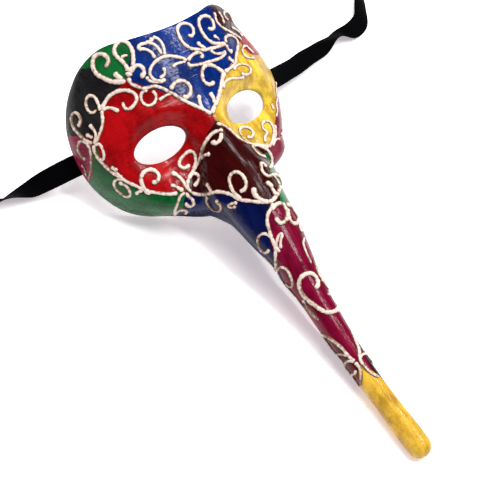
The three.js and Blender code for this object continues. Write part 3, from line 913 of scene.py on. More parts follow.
# Painted shell. Patches are bounded in the mask's own frame: on the face by outlines in x and y, on the nose
# by lines over the angle round it from its ridge, positive to the right. The ground colour shows on the right
# cheek, where no patch lies, and the patches cover it and each other in the order of their colours.
paint = {
    "eyeRoll": 1.8,
    "eyeSides": 120,
    "eyeAbove": 20,
    "eyeRollDepth": 0.8,
    "eyeCuts": 2,
    "eyeReach": 1.0,
    "fineNear": 5.0,
    "cutterHeights": (12.0, 80.0),
    "sharpDeg": 38,
    "leastRadius": 6,
    "ground": (0.22, 0.03, 0.055),
    "colours": {
        "magentaNose": (0.19, 0.0018, 0.027),
        "forehead": (0.0006, 0.022, 0.18),
        "corner": (0.042, 0.003, 0.006),
        "temple": (0.34, 0.020, 0.032),
        "yellow": (0.8, 0.56, 0.056),
        "red": (0.35, 0.002, 0.004),
        "black": (0.015, 0.015, 0.016),
        "greenTop": (0.005, 0.125, 0.026),
        "leftRim": (0.29, 0.012, 0.055),
        "greenBottom": (0.002, 0.108, 0.021),
        "underBlue": (0.001, 0.005, 0.06),
        "brown": (0.036, 0.0012, 0.0014),
        "farGreen": (0.003, 0.16, 0.036),
        "maroon": (0.115, 0.005, 0.014),
        "dark": (0.014, 0.005, 0.008),
        "tip": (0.75, 0.46, 0.046),
    },
    "face": {
        "forehead": [
            (-42, 48), (-33, 40), (-22, 29), (-11, 18), (0, 6), (12, 17), (22, 26), (36, 32), (52, 40),
            (55.7, 42.8), (53.5, 46), (45.6, 52.5), (40.9, 55.8), (38.8, 60.1), (40.9, 66.5), (42, 90),
            (-29, 90), (-31, 65), (-38, 56),
        ],
        "corner": [
            (42, 90), (40.9, 66.5), (38.8, 60.1), (40.9, 55.8), (45.6, 52.5), (53.5, 46), (55.7, 42.8),
            (66, 48), (84, 56), (84, 90),
        ],
        "temple": [
            (55.7, 42.8), (55.5, 38.8), (56.4, 35), (58.4, 31.3), (66, 29), (95, 26), (95, 62), (84, 56),
            (66, 48),
        ],
        "yellow": [
            (0, 6), (12, 17), (22, 26), (36, 32), (52, 40), (55.7, 42.8), (55.5, 38.8), (56.4, 35),
            (58.4, 31.3), (66, 29), (95, 26), (95, 8), (74.6, 5.7), (69.9, 1.6), (68.2, -2.9),
            (64.2, -7.4), (61.6, -12.4), (57.4, -15.5), (52.2, -19.8), (49, -24.3), (45, -27.2),
            (40.8, -29.8), (36.4, -31.3), (31.9, -28), (16, -23), (7.2, -17.2), (5.2, -10.6), (2.5, -4.5),
            (-1, 1),
        ],
        "red": [
            (-42, 48), (-33, 40), (-22, 29), (-11, 18), (0, 6), (-1, 1), (-10, -5), (-15, -14),
            (-23, -23), (-34, -34), (-45, -31), (-57, -24), (-67, -13), (-73, -2), (-74, 8), (-73, 20),
            (-66, 27), (-62, 35), (-55, 42),
        ],
        "black": [
            (-42, 48), (-55, 42), (-62, 35), (-66, 27), (-73, 20), (-78, 26), (-82, 31), (-95, 34),
            (-95, 90), (-50, 90), (-46, 60),
        ],
        "greenTop": [
            (-42, 48), (-47, 49.3), (-50.8, 51.9), (-54, 55.8), (-55.8, 60), (-56, 64.5), (-62, 67),
            (-75, 74), (-75, 90), (-29, 90), (-31, 65), (-38, 56),
        ],
        "leftRim": [(-73, 20), (-78, 26), (-82, 31), (-95, 34), (-95, -6), (-79, -4), (-78, 9), (-74, 19)],
        "greenBottom": [
            (-73, 20), (-74, 8), (-73, -2), (-67, -13), (-57, -24), (-45, -31), (-34, -34), (-39, -40),
            (-41, -47), (-42, -70), (-95, -70), (-95, -6), (-79, -4), (-78, 9), (-74, 19),
        ],
    },
    "noseRegion": [
        (0, 4), (-1, 1), (-10, -5), (-15, -14), (-23, -23), (-34, -34), (-39, -40), (-41, -47), (-42, -60),
        (-60, -300), (60, -300), (42, -60), (38, -47), (36.5, -41), (36.2, -36), (36.4, -31.3), (31.9, -28),
        (16, -23), (7.2, -17.2), (5.2, -10.6), (2.5, -4.5),
    ],
    "brownTo": [
        (-180, -34), (-112, -36), (-90, -41), (-57, -47), (-35, -55), (-5, -61), (20, -65), (40, -67),
        (180, -60),
    ],
    "greenFrom": [
        (-75, 12), (-66, 14), (-63, 16), (-60, 20), (-56, 29), (-52.5, 41), (-48, 41), (-43.5, 31),
        (-40, 46), (-37, 62), (-34, 112), (-20, 150),
    ],
    "greenTo": [(-70, 84), (-60, 95), (-36, 112)],
    "blueLeft": [(-112, -100), (-98, -68), (-81, -44), (-70, -25), (-61, -5), (-50, 30)],
    "blueRight": [(-112, 150), (-90, 122), (-66, 92), (-40, 110)],
    "blueEndsAt": -113.0,
    "farGreenEndsAt": -67.0,
    "maroonStartsAt": -146.0,
    "darkStartsAt": -158.0,
    "tipStartsAt": -150.0,
    "maroonLeft": [
        (-186, -20), (-180, -28), (-174, -36), (-167, -45), (-160, -62), (-152, -100), (-146, -140),
    ],
    "darkRight": [(-192, 4), (-186, 10), (-178, 18), (-170, 30), (-164, 50), (-158, 90)],
    "tipFrom": [(-180, -194), (-90, -189), (-20, -178), (0, -182), (60, -194), (120, -198), (180, -194)],
}


def signedInside(points, outline):
    # Distance to a closed outline in the plane, positive inside: nearest edge, sign by crossings
    p = np.asarray(points, float)
    corners = np.asarray(outline, float)
    best = np.full(len(p), 1e9)
    inside = np.zeros(len(p), bool)
    for a, b in zip(corners, np.roll(corners, -1, 0)):
        edge = b - a
        t = np.clip(((p - a) @ edge) / (edge @ edge), 0, 1)
        best = np.minimum(best, np.linalg.norm(p - a - t[:, None] * edge, axis=1))
        crosses = (a[1] > p[:, 1]) != (b[1] > p[:, 1])
        height = np.where(b[1] == a[1], 1.0, b[1] - a[1])
        inside ^= crosses & (p[:, 0] < a[0] + (p[:, 1] - a[1]) * edge[0] / height)
    return np.where(inside, best, -best)


def through(pairs, x):
    # Smooth curve through named pairs
    keys, values = np.array(pairs, float).T
    return curveThrough(keys, values, x)


def patchFields(points):
    # One number per patch, positive inside it, about the distance to its edge in millimetres
    x, y, z = points.T
    plane = points[:, :2]
    fields = {name: signedInside(plane, outline) for name, outline in paint["face"].items()}
    foot, above, _ = noseFoot(x, y, z)
    angle = np.degrees(np.arctan2(x, above))
    perDegree = np.pi / 180 * np.maximum(curveThrough(noseY, noseR, foot), paint["leastRadius"])

    def rightOf(line):
        # Distance round the nose to the right of a line
        return (angle - through(paint[line], y)) * perDegree

    onNose = signedInside(plane, paint["noseRegion"])
    brown = y - through(paint["brownTo"], angle)
    tipLine = through(paint["tipFrom"], angle)
    green = rightOf("greenFrom")
    right = rightOf("blueRight")
    beside = np.maximum(-rightOf("blueLeft"), right)
    below = np.maximum(-brown, right)
    patches = {
        "magentaNose": [onNose],
        "underBlue": [onNose, beside, below, y - paint["blueEndsAt"]],
        "brown": [onNose, brown, -np.maximum(green, right)],
        "farGreen": [onNose, green, -rightOf("greenTo"), y - paint["farGreenEndsAt"]],
        "maroon": [-rightOf("maroonLeft"), y - tipLine, paint["maroonStartsAt"] - y],
        "dark": [rightOf("darkRight"), y - tipLine, paint["darkStartsAt"] - y],
        "tip": [tipLine - y, paint["tipStartsAt"] - y],
    }
    for name, bounds in patches.items():
        fields[name] = np.minimum.reduce(bounds)
    return fields


def eyeGap(points):
    # Distance outside the eye opening in millimetres, negative within it
    u, v = eyeFrame(points[:, 0], points[:, 1])
    a, b = form["eyeHalf"]
    level = np.hypot(u / a, v / b)
    slope = np.hypot(u / a**2, v / b**2) / np.maximum(level, 1e-6)
    return (level - 1) / np.maximum(slope, 1e-6)


def refineNearEyes(mesh):
    # The mesh made three times finer close to the eye openings, seated on the outer form again, and rolled
    # down into them along a quarter of an oval
    bm = bmesh.new()
    bm.from_mesh(mesh)
    bm.verts.ensure_lookup_table()
    points = unplace([v.co for v in bm.verts])
    outer = np.arange(len(points)) < outerCount
    near = outer & (np.abs(eyeGap(points)) < paint["fineNear"]) & (points[:, 2] > paint["eyeAbove"])
    edges = [e for e in bm.edges if near[e.verts[0].index] and near[e.verts[1].index]]
    bmesh.ops.subdivide_edges(bm, edges=edges, cuts=paint["eyeCuts"], use_grid_fill=True)
    bm.to_mesh(mesh)
    bm.free()
    points = maskPoints(mesh)
    added = np.arange(len(points)) >= len(near)
    points[added] = meet(points[added], unit(steepest(points[added])), paint["eyeReach"])
    top = np.concatenate([outer, np.ones(added.sum(), bool)]) & (points[:, 2] > paint["eyeAbove"])
    gap = np.clip(eyeGap(points), 0, None)
    roll = paint["eyeRoll"]
    drop = roll - np.sqrt(np.maximum(roll**2 - (roll - gap) ** 2, 0))
    points[:, 2] -= np.where(top & (gap < roll), drop, 0) * paint["eyeRollDepth"]
    mesh.vertices.foreach_set("co", place(points).ravel())
    mesh.update()


def eyeCutter(side):
    # Upright prism with the outline of the eye opening
    a = roundAngles(paint["eyeSides"])
    tilt = side * math.radians(form["eyeTiltDeg"])
    u = form["eyeHalf"][0] * np.cos(a)
    v = form["eyeHalf"][1] * np.sin(a)
    x = side * form["eyeX"] + u * math.cos(tilt) - v * math.sin(tilt)
    y = u * math.sin(tilt) + v * math.cos(tilt)
    points = np.concatenate([np.stack([x, y, 0 * x + h], -1) for h in paint["cutterHeights"]])
    return meshObject(f"eyeCutter{side}", place(points), tubeFaces(2, len(a)))


def applied(obj):
    # The object's mesh with its modifiers, as a new mesh without them
    graph = bpy.context.evaluated_depsgraph_get()
    mesh = bpy.data.meshes.new_from_object(obj.evaluated_get(graph))
    obj.modifiers.clear()
    old = obj.data
    obj.data = mesh
    bpy.data.meshes.remove(old)
    return mesh


def makeShell():
    # Both skins, made finer round the eyes, with the two openings cut
    obj = meshObject("paintedShell", place(shellPoints), shellFaces)
    refineNearEyes(obj.data)
    cutters = [eyeCutter(side) for side in (-1, 1)]
    for cutter in cutters:
        cut = obj.modifiers.new("eye", "BOOLEAN")
        cut.operation = "DIFFERENCE"
        cut.solver = "MANIFOLD"
        cut.object = cutter
    mesh = applied(obj)
    for cutter in cutters:
        bpy.data.objects.remove(cutter)
    mesh.materials.clear()
    mesh.shade_smooth()
    mesh.set_sharp_from_angle(angle=math.radians(paint["sharpDeg"]))
    points = maskPoints(mesh)
    for name, values in patchFields(points).items():
        setAttribute(mesh, name, values)
    nearest = np.array([outerTree.find_nearest(Vector(p))[3] for p in place(points)]) * 1000
    setAttribute(mesh, "depth", nearest)
    print("shell", len(mesh.vertices), "points", len(mesh.polygons), "faces")
    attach(obj, "root")
    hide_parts("mask_shell")
    return obj


# How the lacquer looks. A noise is its cells per metre, its detail, its roughness and how it is drawn out.
# Two numbers under a key ending in Ramp are where the effect starts and where it is full. A bump is its
# strength and its depth in metres.
lacquer = {
    "streaks": (240.0, 4.0, 0.6, (1.0, 0.16, 0.5)),
    "streakShare": 0.45,
    "blotches": (55.0, 4.0, 0.6),
    "blotchShare": 0.55,
    # Streaks and blotches darken the paint towards the wash colour, partly as uneven paint and partly as
    # painted shade.
    "washAndShadeRamp": (0.39, 0.62),
    "washAndShade": 0.85,
    "washAndShadeColour": (0.45, 0.38, 0.40),
    "edgeNoise": (300.0, 2.0),
    "edgeWobble": 0.8,
    "edgeRamp": (-0.12, 0.12),
    "yellowRamp": (-0.1, 0.1),
    "specks": (800.0, 3.0, 0.7),
    "speckRamp": (0.56, 0.66),
    "speckDirt": 0.45,
    "stains": (120.0, 4.0, 0.7),
    "stainRamp": (0.46, 0.70),
    "stainDirt": 0.36,
    "borderRamp": (-7.0, 0.0),
    "borderDarkening": 0.40,
    "browningColour": (0.30, 0.11, 0.006),
    "gessoRamp": (1.5, 2.2),
    "paper": (160.0, 4.0, 0.6),
    "gesso": ((0.50, 0.48, 0.45), (0.62, 0.60, 0.57)),
    "unevenness": (90.0, 3.0),
    "noseRamp": (-4.0, 4.0),
    "strokesAcross": (520.0, 3.0, 0.6, (0.10, 1.0, 1.0)),
    "strokesAlong": (520.0, 3.0, 0.6, (1.0, 0.08, 0.08)),
    "strokeRamp": (0.42, 0.66),
    "strokeHeight": 0.48,
    "roughness": 0.15,
    "unevenRoughness": 0.10,
    "strokeRoughness": 0.22,
    "gessoRoughness": 0.45,
    "bump": (0.4, 0.0012),
    "shine": 0.10,
    "coat": 0.28,
    "coatRoughness": 0.07,
}


def brushGroup():
    # The effect of hand painting and painted shade: a colour mixed towards a darker wash colour in streaks
    # and blotches, which stand partly for uneven paint and partly for shading
    group = bpy.data.node_groups.new("brushworkAndShade", "ShaderNodeTree")
    for name, kind in (("Colour", "Color"), ("Wash", "Color"), ("Amount", "Float")):
        group.interface.new_socket(name, in_out="INPUT", socket_type="NodeSocket" + kind)
    group.interface.new_socket("Colour", in_out="OUTPUT", socket_type="NodeSocketColor")
    start = group.nodes.new("NodeGroupInput").outputs
    end = group.nodes.new("NodeGroupOutput").inputs
    coordinate = objectPlace(group)
    streaks = times(group, noise(group, coordinate, *lacquer["streaks"]), lacquer["streakShare"])
    blotches = times(group, noise(group, coordinate, *lacquer["blotches"]), lacquer["blotchShare"])
    washAndShade = ramp(group, plus(group, streaks, blotches), *lacquer["washAndShadeRamp"])
    feed(group, mixColour(group, times(group, washAndShade, start["Amount"]), start[0], start[1]), end[0])
    return group


def lacquerMaterial():
    # Glossy paint over papier-mache. Each patch colour shows where its field is above zero, with a wavering
    # edge. Inside, below the wall's middle, bare pale gesso shows.
    mat, tree, shader = newMaterial("lacquerPaint")
    coordinate = objectPlace(tree)
    wobble = noise(tree, coordinate, *lacquer["edgeNoise"])
    edge = times(tree, minus(tree, wobble, 0.5), lacquer["edgeWobble"])
    colour = paint["ground"]
    for name, patch in paint["colours"].items():
        inside = ramp(tree, plus(tree, attribute(tree, name), edge), *lacquer["edgeRamp"])
        colour = mixColour(tree, inside, colour, patch)
    brush = node(tree, "ShaderNodeGroup")
    brush.node_tree = brushGroup()
    # The darker wash colour stands partly for uneven paint and partly for painted shade.
    washAndShade = mixColour(tree, 1.0, colour, lacquer["washAndShadeColour"], "MULTIPLY")
    dress(tree, brush, {"Colour": colour, "Wash": washAndShade, "Amount": lacquer["washAndShade"]})
    yellows = maths(tree, "MAXIMUM", attribute(tree, "tip"), attribute(tree, "yellow"))
    onYellow = ramp(tree, yellows, *lacquer["yellowRamp"])
    specks = ramp(tree, noise(tree, coordinate, *lacquer["specks"]), *lacquer["speckRamp"])
    stains = ramp(tree, noise(tree, coordinate, *lacquer["stains"]), *lacquer["stainRamp"])
    # Within some millimetres of their edges the yellow patches are made browner, besides the specks and
    # stains.
    border = ramp(tree, times(tree, yellows, -1.0), *lacquer["borderRamp"])
    border = times(tree, border, lacquer["borderDarkening"])
    stainsAndBorder = plus(tree, times(tree, stains, lacquer["stainDirt"]), border)
    browning = plus(tree, times(tree, specks, lacquer["speckDirt"]), stainsAndBorder, True)
    colour = mixColour(tree, times(tree, browning, onYellow), brush.outputs[0], lacquer["browningColour"])
    within = ramp(tree, attribute(tree, "depth"), *lacquer["gessoRamp"])
    gesso = mixColour(tree, noise(tree, coordinate, *lacquer["paper"]), *lacquer["gesso"])
    uneven = noise(tree, coordinate, *lacquer["unevenness"])
    onNose = ramp(tree, attribute(tree, "magentaNose"), *lacquer["noseRamp"])
    across = noise(tree, coordinate, *lacquer["strokesAcross"])
    along = noise(tree, coordinate, *lacquer["strokesAlong"])
    strokes = plus(tree, times(tree, minus(tree, along, across), onNose), across)
    stroked = ramp(tree, strokes, *lacquer["strokeRamp"])
    rough = plus(tree, times(tree, uneven, lacquer["unevenRoughness"]), lacquer["roughness"])
    rough = plus(tree, rough, times(tree, stroked, lacquer["strokeRoughness"]))
    height = plus(tree, uneven, times(tree, strokes, lacquer["strokeHeight"]))
    normal = bumped(tree, height, *lacquer["bump"])
    dress(tree, shader, {
        "Base Color": mixColour(tree, within, colour, gesso),
        "Roughness": plus(tree, rough, times(tree, within, lacquer["gessoRoughness"]), True),
        "Specular IOR Level": lacquer["shine"],
        "Coat Weight": lacquer["coat"],
        "Coat Roughness": lacquer["coatRoughness"],
        "Normal": normal,
        "Coat Normal": normal,
    })
    return mat


shell = makeShell()
shell.data.materials.append(lacquerMaterial())
print("shell painted")


# Scrollwork: lines of raised paste. The points of each line are read off an enlargement of the picture whose
# corner is at origin and which is scale times larger. A line is its width in millimetres, how many times as
# wide its start and its end are (1 or more a drop, below 1 a thin end), and its points. A wave is its rate
# along the line and how far each line's seed shifts it. A drop reaches a share of half the width and some
# millimetres more, and a thin end a share of the line's length and some more.
scrollwork = {
    "step": 0.8,
    "pictureStep": 0.7,
    "perStretch": 24,
    "evenings": 2,
    "sides": 9,
    "height": 0.40,
    "raised": 0.1,
    "sunk": 0.45,
    "flatBelow": -0.2,
    "widen": 0.75,
    "drop": 0.30,
    "dropReach": (1.5, 0.6),
    "thinReach": (0.25, 1),
    "leastEnd": 0.02,
    "waver": 0.14,
    "heightWaver": 0.12,
    "waves": {"slow": (0.9, 1), "quick": (2.3, 1.7), "height": (1.7, 2.3)},
    "seedStep": 1.3,
    "seedAlong": 50,
    "crestRange": (-0.3, 1.3),
    "facing": 0.22,
    "clear": 0.002,
    "shortest": 13,
    "sharpDeg": 70,
    "groups": {
        "browLeft": {"origin": (60, 20), "scale": 11.2, "lines": [
            (3.6, 1, 1, [(765, 640), (795, 712), (860, 742), (930, 768), (1000, 752), (1070, 742),
                (1145, 765), (1210, 800), (1280, 835), (1345, 880), (1420, 918), (1500, 955), (1580, 990),
                (1697, 1053)]),
            (3.0, 1, 1, [(985, 790), (925, 800), (905, 860), (930, 930), (990, 962), (1050, 935),
                (1078, 875), (1062, 820), (1030, 790)]),
            (2.6, 1.5, 1, [(1105, 900), (1150, 868), (1200, 838), (1250, 822)]),
            (4.0, 1, 1.3, [(1235, 790), (1262, 730), (1320, 685), (1390, 685), (1445, 730), (1462, 795),
                (1440, 850), (1395, 870), (1365, 850)]),
            (4.2, 1, 1, [(775, 600), (812, 520), (820, 420), (800, 320), (745, 252), (665, 252), (612, 310),
                (612, 375), (650, 425), (695, 460), (740, 520), (770, 575)]),
            (3.2, 1, 0.7, [(680, 430), (725, 398), (765, 405)]),
            (4.8, 1, 0.8, [(740, 680), (650, 692), (570, 685), (490, 650), (425, 612), (380, 555),
                (368, 480), (385, 415), (435, 385), (495, 390), (540, 435), (540, 490), (500, 535)]),
            (4.2, 1.3, 1, [(600, 590), (645, 628), (700, 672)]),
            (4.2, 1, 1.3, [(800, 590), (815, 540), (860, 508), (912, 520), (940, 570), (930, 620),
                (890, 625)]),
            (5.0, 1, 1, [(775, 575), (765, 640)]),
            (3.0, 1, 1, [(1170, 395), (1162, 320), (1130, 245), (1085, 205), (1030, 195)]),
            (3.0, 1, 1, [(1138, 388), (1100, 320), (1055, 275), (1000, 255), (955, 245)]),
            (3.0, 1, 1, [(1062, 432), (1030, 372), (975, 335), (920, 325), (875, 335)]),
            (3.2, 1.2, 1.2, [(1030, 195), (1010, 245), (960, 260), (885, 285), (880, 340)]),
            (3.4, 1, 1.1, [(1420, 460), (1370, 430), (1290, 412), (1200, 405), (1120, 430), (1055, 480),
                (1012, 545), (1005, 610), (1035, 655), (1095, 682), (1155, 680), (1185, 658)]),
            (2.8, 1.4, 1, [(1148, 530), (1175, 580), (1160, 625), (1110, 650)]),
            (3.0, 1.3, 1, [(968, 630), (990, 675), (1050, 695), (1110, 700), (1160, 680)]),
            (4.0, 1, 0.8, [(470, 1010), (490, 950), (540, 870), (600, 820), (680, 790), (760, 790),
                (830, 820), (860, 870), (840, 940), (790, 990), (740, 1000), (710, 960), (705, 915)]),
            (3.2, 1, 1.3, [(470, 1010), (530, 985), (590, 990), (640, 1015), (665, 1020)]),
            (3.4, 1, 0.8, [(455, 1020), (425, 930), (385, 860), (335, 845), (295, 890), (295, 960),
                (330, 1030), (375, 1040), (410, 1000)]),
            (3.4, 1, 1, [(470, 1010), (475, 1080), (480, 1140), (465, 1220), (440, 1290), (410, 1350),
                (375, 1388)]),
            (3.4, 1, 1.3, [(370, 1385), (290, 1345), (215, 1280), (155, 1205), (130, 1120), (150, 1045),
                (185, 1040), (225, 1090), (230, 1150), (205, 1200)]),
            (3.0, 1.4, 1, [(330, 1170), (365, 1210), (400, 1270), (400, 1340), (385, 1380)]),
            (3.0, 1.4, 1, [(290, 1280), (330, 1300), (375, 1325)]),
        ]},
        "browRight": {"origin": (170, 0), "scale": 12.06, "lines": [
            (3.8, 1, 0.9, [(660, 530), (560, 570), (480, 590), (400, 605), (330, 600), (260, 590),
                (195, 555), (140, 500), (105, 430), (85, 355), (115, 300), (180, 285), (240, 300),
                (275, 355), (278, 415), (245, 440), (210, 415)]),
            (4.0, 1, 0.9, [(660, 525), (590, 530), (520, 520), (460, 490), (410, 435), (370, 370),
                (345, 300), (345, 240), (385, 200), (440, 195), (490, 230), (520, 290), (525, 340),
                (490, 355), (450, 335)]),
            (3.6, 1.3, 1, [(320, 505), (350, 540), (400, 575), (430, 595)]),
            (3.0, 1.4, 0.6, [(520, 430), (560, 455), (600, 490)]),
            (3.6, 1, 1, [(670, 525), (660, 470), (690, 430), (740, 435), (790, 470), (815, 520), (812, 580),
                (800, 640), (790, 700), (785, 760), (755, 800), (700, 840), (655, 870)]),
            (3.6, 1, 1.3, [(675, 535), (680, 580), (710, 610), (745, 635)]),
            (3.4, 1.4, 1, [(690, 695), (725, 720), (770, 760)]),
            (3.4, 1, 1, [(210, 745), (230, 790), (290, 790), (380, 770), (470, 745), (560, 720), (620, 690),
                (660, 640), (655, 615)]),
            (3.6, 1, 1, [(205, 740), (240, 690), (290, 650), (350, 635), (390, 660), (385, 690),
                (355, 685)]),
            (3.0, 1, 1, [(485, 600), (510, 635), (570, 650), (630, 640), (665, 620)]),
            (2.6, 1, 0.6, [(205, 770), (235, 800), (255, 845)]),
            (2.8, 1, 1.4, [(190, 745), (110, 760), (60, 780), (30, 815)]),
            (4.2, 1, 1, [(650, 885), (590, 840), (530, 800), (470, 785), (415, 800), (385, 850), (385, 930),
                (410, 990), (460, 1020), (510, 1010), (525, 975)]),
            (4.4, 1, 1, [(655, 870), (630, 930), (620, 990), (605, 1060), (590, 1130), (570, 1200),
                (545, 1260), (520, 1320), (505, 1380)]),
            (3.0, 1, 1, [(640, 1070), (650, 1010), (690, 965), (760, 945), (830, 940), (890, 930)]),
            (3.2, 1, 1, [(770, 850), (785, 810), (830, 780), (890, 780), (940, 800), (970, 840), (960, 880),
                (910, 900), (850, 890)]),
            (3.4, 1.3, 1, [(345, 1140), (352, 1200), (365, 1260), (400, 1320)]),
            (4.0, 1.3, 1, [(470, 1115), (505, 1160), (530, 1220), (540, 1260)]),
            (3.2, 1, 1, [(530, 150), (545, 220), (570, 280), (620, 330), (690, 370), (760, 410), (820, 450),
                (860, 490)]),
            (2.6, 1, 1, [(575, 145), (610, 180), (635, 240), (645, 285)]),
            (2.6, 1, 1, [(700, 250), (650, 190), (655, 145), (690, 150), (730, 210), (755, 270)]),
            (3.0, 1, 1, [(735, 330), (790, 360), (840, 400), (870, 450)]),
            (3.0, 1, 1, [(1010, 650), (960, 600), (910, 555), (875, 575), (870, 630), (905, 680), (960, 705),
                (1010, 700)]),
            (2.6, 1, 1, [(1270, 1000), (1275, 1080), (1285, 1160), (1280, 1250), (1290, 1340),
                (1275, 1410)]),
            (2.6, 1, 1, [(1215, 1245), (1235, 1290), (1245, 1330)]),
        ]},
        "noseRoot": {"origin": (170, 130), "scale": 11.2, "lines": [
            (4.0, 1, 1, [(600, 5), (530, 15), (480, 35), (410, 120), (370, 200), (350, 280), (330, 350),
                (290, 400), (265, 450), (235, 500), (205, 560), (190, 620), (185, 680)]),
            (4.0, 1, 1.3, [(570, 30), (575, 80), (540, 140), (495, 150), (478, 115)]),
            (3.2, 1, 1.4, [(350, 330), (380, 290), (420, 275), (455, 270)]),
            (3.6, 1, 1, [(265, 450), (285, 380), (290, 310), (265, 250), (210, 240), (150, 290), (105, 350),
                (105, 400), (150, 430), (195, 415), (220, 385)]),
            (3.6, 1, 1, [(205, 540), (240, 500), (290, 490), (325, 520), (320, 570), (290, 610),
                (262, 635)]),
            (3.6, 1, 1, [(195, 560), (190, 620), (215, 680), (260, 710), (330, 722), (400, 718), (470, 705),
                (540, 690), (610, 700), (680, 720), (740, 755), (800, 785), (870, 790), (940, 800),
                (1020, 810), (1090, 810), (1150, 790)]),
            (3.0, 1.4, 1, [(410, 595), (435, 640), (470, 700)]),
            (3.6, 1, 1, [(800, 780), (760, 740), (710, 690), (680, 620), (665, 550), (690, 490), (740, 470),
                (795, 490), (840, 550), (855, 620), (830, 670), (780, 690)]),
            (3.4, 1, 1, [(430, 735), (410, 790), (440, 850), (490, 895), (540, 905), (575, 870), (560, 830),
                (525, 810), (540, 780)]),
            (3.0, 1, 1, [(760, 815), (700, 820), (650, 850), (690, 868), (745, 852)]),
            (4.6, 1.2, 1, [(935, 640), (950, 720), (1000, 770), (1060, 800), (1130, 800), (1180, 750),
                (1215, 680), (1225, 630)]),
            (4.4, 1.2, 1, [(1065, 590), (1115, 610), (1140, 660), (1170, 710), (1185, 740)]),
            (3.4, 1, 1, [(1065, 305), (1000, 280), (950, 235), (920, 190), (960, 170), (1020, 185),
                (1080, 215), (1120, 265), (1140, 330), (1135, 390), (1110, 430)]),
            (3.6, 1, 1, [(1075, 425), (1050, 385), (1020, 370), (1020, 430), (1050, 490), (1100, 520),
                (1150, 500), (1200, 510), (1240, 560), (1255, 625)]),
            (3.0, 1, 1, [(1150, 500), (1190, 560), (1225, 620)]),
            (3.0, 1, 1, [(1100, 190), (1150, 140), (1175, 80), (1180, 20), (1170, -60)]),
            (2.6, 1, 1, [(1150, 180), (1180, 110), (1230, 100)]),
            (2.6, 1, 1, [(1240, 60), (1255, 0)]),
            (4.2, 1.2, 1, [(10, 480), (60, 500), (110, 540), (150, 590), (165, 650)]),
            (4.0, 1, 1, [(0, 620), (50, 630), (100, 660), (150, 680)]),
            (3.4, 1, 1, [(165, 700), (120, 730), (90, 790), (70, 850), (55, 900), (50, 950)]),
            (3.4, 1, 1, [(50, 950), (90, 900), (140, 890), (190, 905), (170, 930)]),
            (3.4, 1, 1, [(165, 700), (200, 740), (250, 780), (265, 830), (230, 855), (185, 840),
                (170, 810)]),
            (3.6, 1, 1, [(1160, 820), (1130, 880), (1095, 950), (1090, 1030), (1110, 1110), (1130, 1190),
                (1160, 1260), (1185, 1330), (1180, 1420), (1190, 1500), (1185, 1568)]),
            (4.6, 1, 1, [(1130, 900), (1180, 840), (1250, 825), (1290, 880), (1310, 950), (1290, 1020),
                (1240, 1045), (1200, 1010), (1185, 970)]),
            (4.4, 1, 1, [(1290, 840), (1340, 850), (1390, 920), (1430, 990), (1420, 1040), (1380, 1050),
                (1340, 1010), (1320, 950), (1310, 880)]),
            (3.0, 1, 1, [(1170, 1290), (1150, 1230), (1100, 1175), (1040, 1160), (990, 1200), (985, 1260),
                (1010, 1330), (1060, 1375), (1100, 1360), (1110, 1330)]),
            (2.8, 1, 1, [(1230, 1370), (1190, 1300), (1200, 1230), (1230, 1160), (1260, 1160), (1240, 1230),
                (1240, 1330)]),
            (2.4, 1, 1, [(1055, 1410), (1085, 1440), (1130, 1490), (1165, 1540)]),
        ]},
        "rightEye": {"origin": (40, 0), "scale": 6.03, "lines": [
            (3.2, 1, 1.2, [(1290, 880), (1240, 850), (1205, 810), (1205, 775), (1250, 768), (1285, 800),
                (1275, 830), (1245, 825)]),
            (3.2, 1, 1, [(1360, 860), (1355, 830), (1370, 800), (1345, 780), (1340, 745), (1370, 730),
                (1395, 750), (1410, 800), (1400, 850), (1385, 880)]),
            (3.4, 1, 1, [(1060, 745), (1110, 760), (1160, 800), (1210, 845), (1270, 870), (1330, 875),
                (1380, 890)]),
        ]},
        "cheekLeft": {"origin": (60, 100), "scale": 11.2, "lines": [
            (3.2, 1, 1, [(330, 500), (290, 475), (235, 460), (205, 510), (210, 570), (245, 635),
                (300, 665)]),
            (3.2, 1, 0.7, [(300, 480), (335, 540), (350, 620), (350, 700), (345, 780), (330, 850),
                (318, 920)]),
            (2.6, 1.3, 1, [(245, 720), (270, 750), (290, 800), (300, 850)]),
            (3.0, 1, 1.2, [(385, 510), (440, 490), (480, 560), (495, 640), (470, 680), (445, 650)]),
            (3.4, 1, 1, [(380, 500), (385, 570), (420, 640), (460, 690), (510, 740), (570, 800), (640, 845),
                (700, 880), (760, 920), (830, 950), (900, 985), (960, 1010), (1030, 1030), (1120, 1045),
                (1220, 1055), (1320, 1040)]),
            (2.8, 1.3, 1, [(570, 740), (610, 780), (660, 840), (700, 870)]),
            (2.4, 1.3, 1, [(640, 760), (620, 790)]),
            (3.2, 1, 1, [(780, 930), (700, 890), (640, 885), (605, 920), (620, 980), (680, 1040),
                (740, 1080), (785, 1070), (780, 1010), (740, 960), (680, 930), (660, 910)]),
            (2.8, 1.4, 1, [(850, 1060), (870, 1030), (930, 1010)]),
            (4.4, 1, 1, [(1020, 1050), (950, 1000), (915, 930), (910, 860), (950, 800), (1010, 780),
                (1070, 800), (1105, 850), (1100, 905), (1060, 930), (1035, 900)]),
        ]},
        "nose": {"origin": (240, 180), "scale": 11.2, "lines": [
            (2.6, 1, 0.8, [(400, 980), (430, 1040), (480, 1130), (560, 1230), (640, 1320), (700, 1400),
                (780, 1480), (860, 1560)]),
            (3.0, 1, 1, [(420, 1010), (450, 975), (510, 990), (560, 1060), (585, 1130), (590, 1190),
                (545, 1190), (520, 1150)]),
            (4.4, 1.2, 1, [(840, 1220), (870, 1170), (850, 1090), (790, 1045), (720, 1060), (670, 1110),
                (665, 1190), (700, 1280), (770, 1350), (850, 1410), (920, 1460), (990, 1485), (1060, 1470),
                (1110, 1440)]),
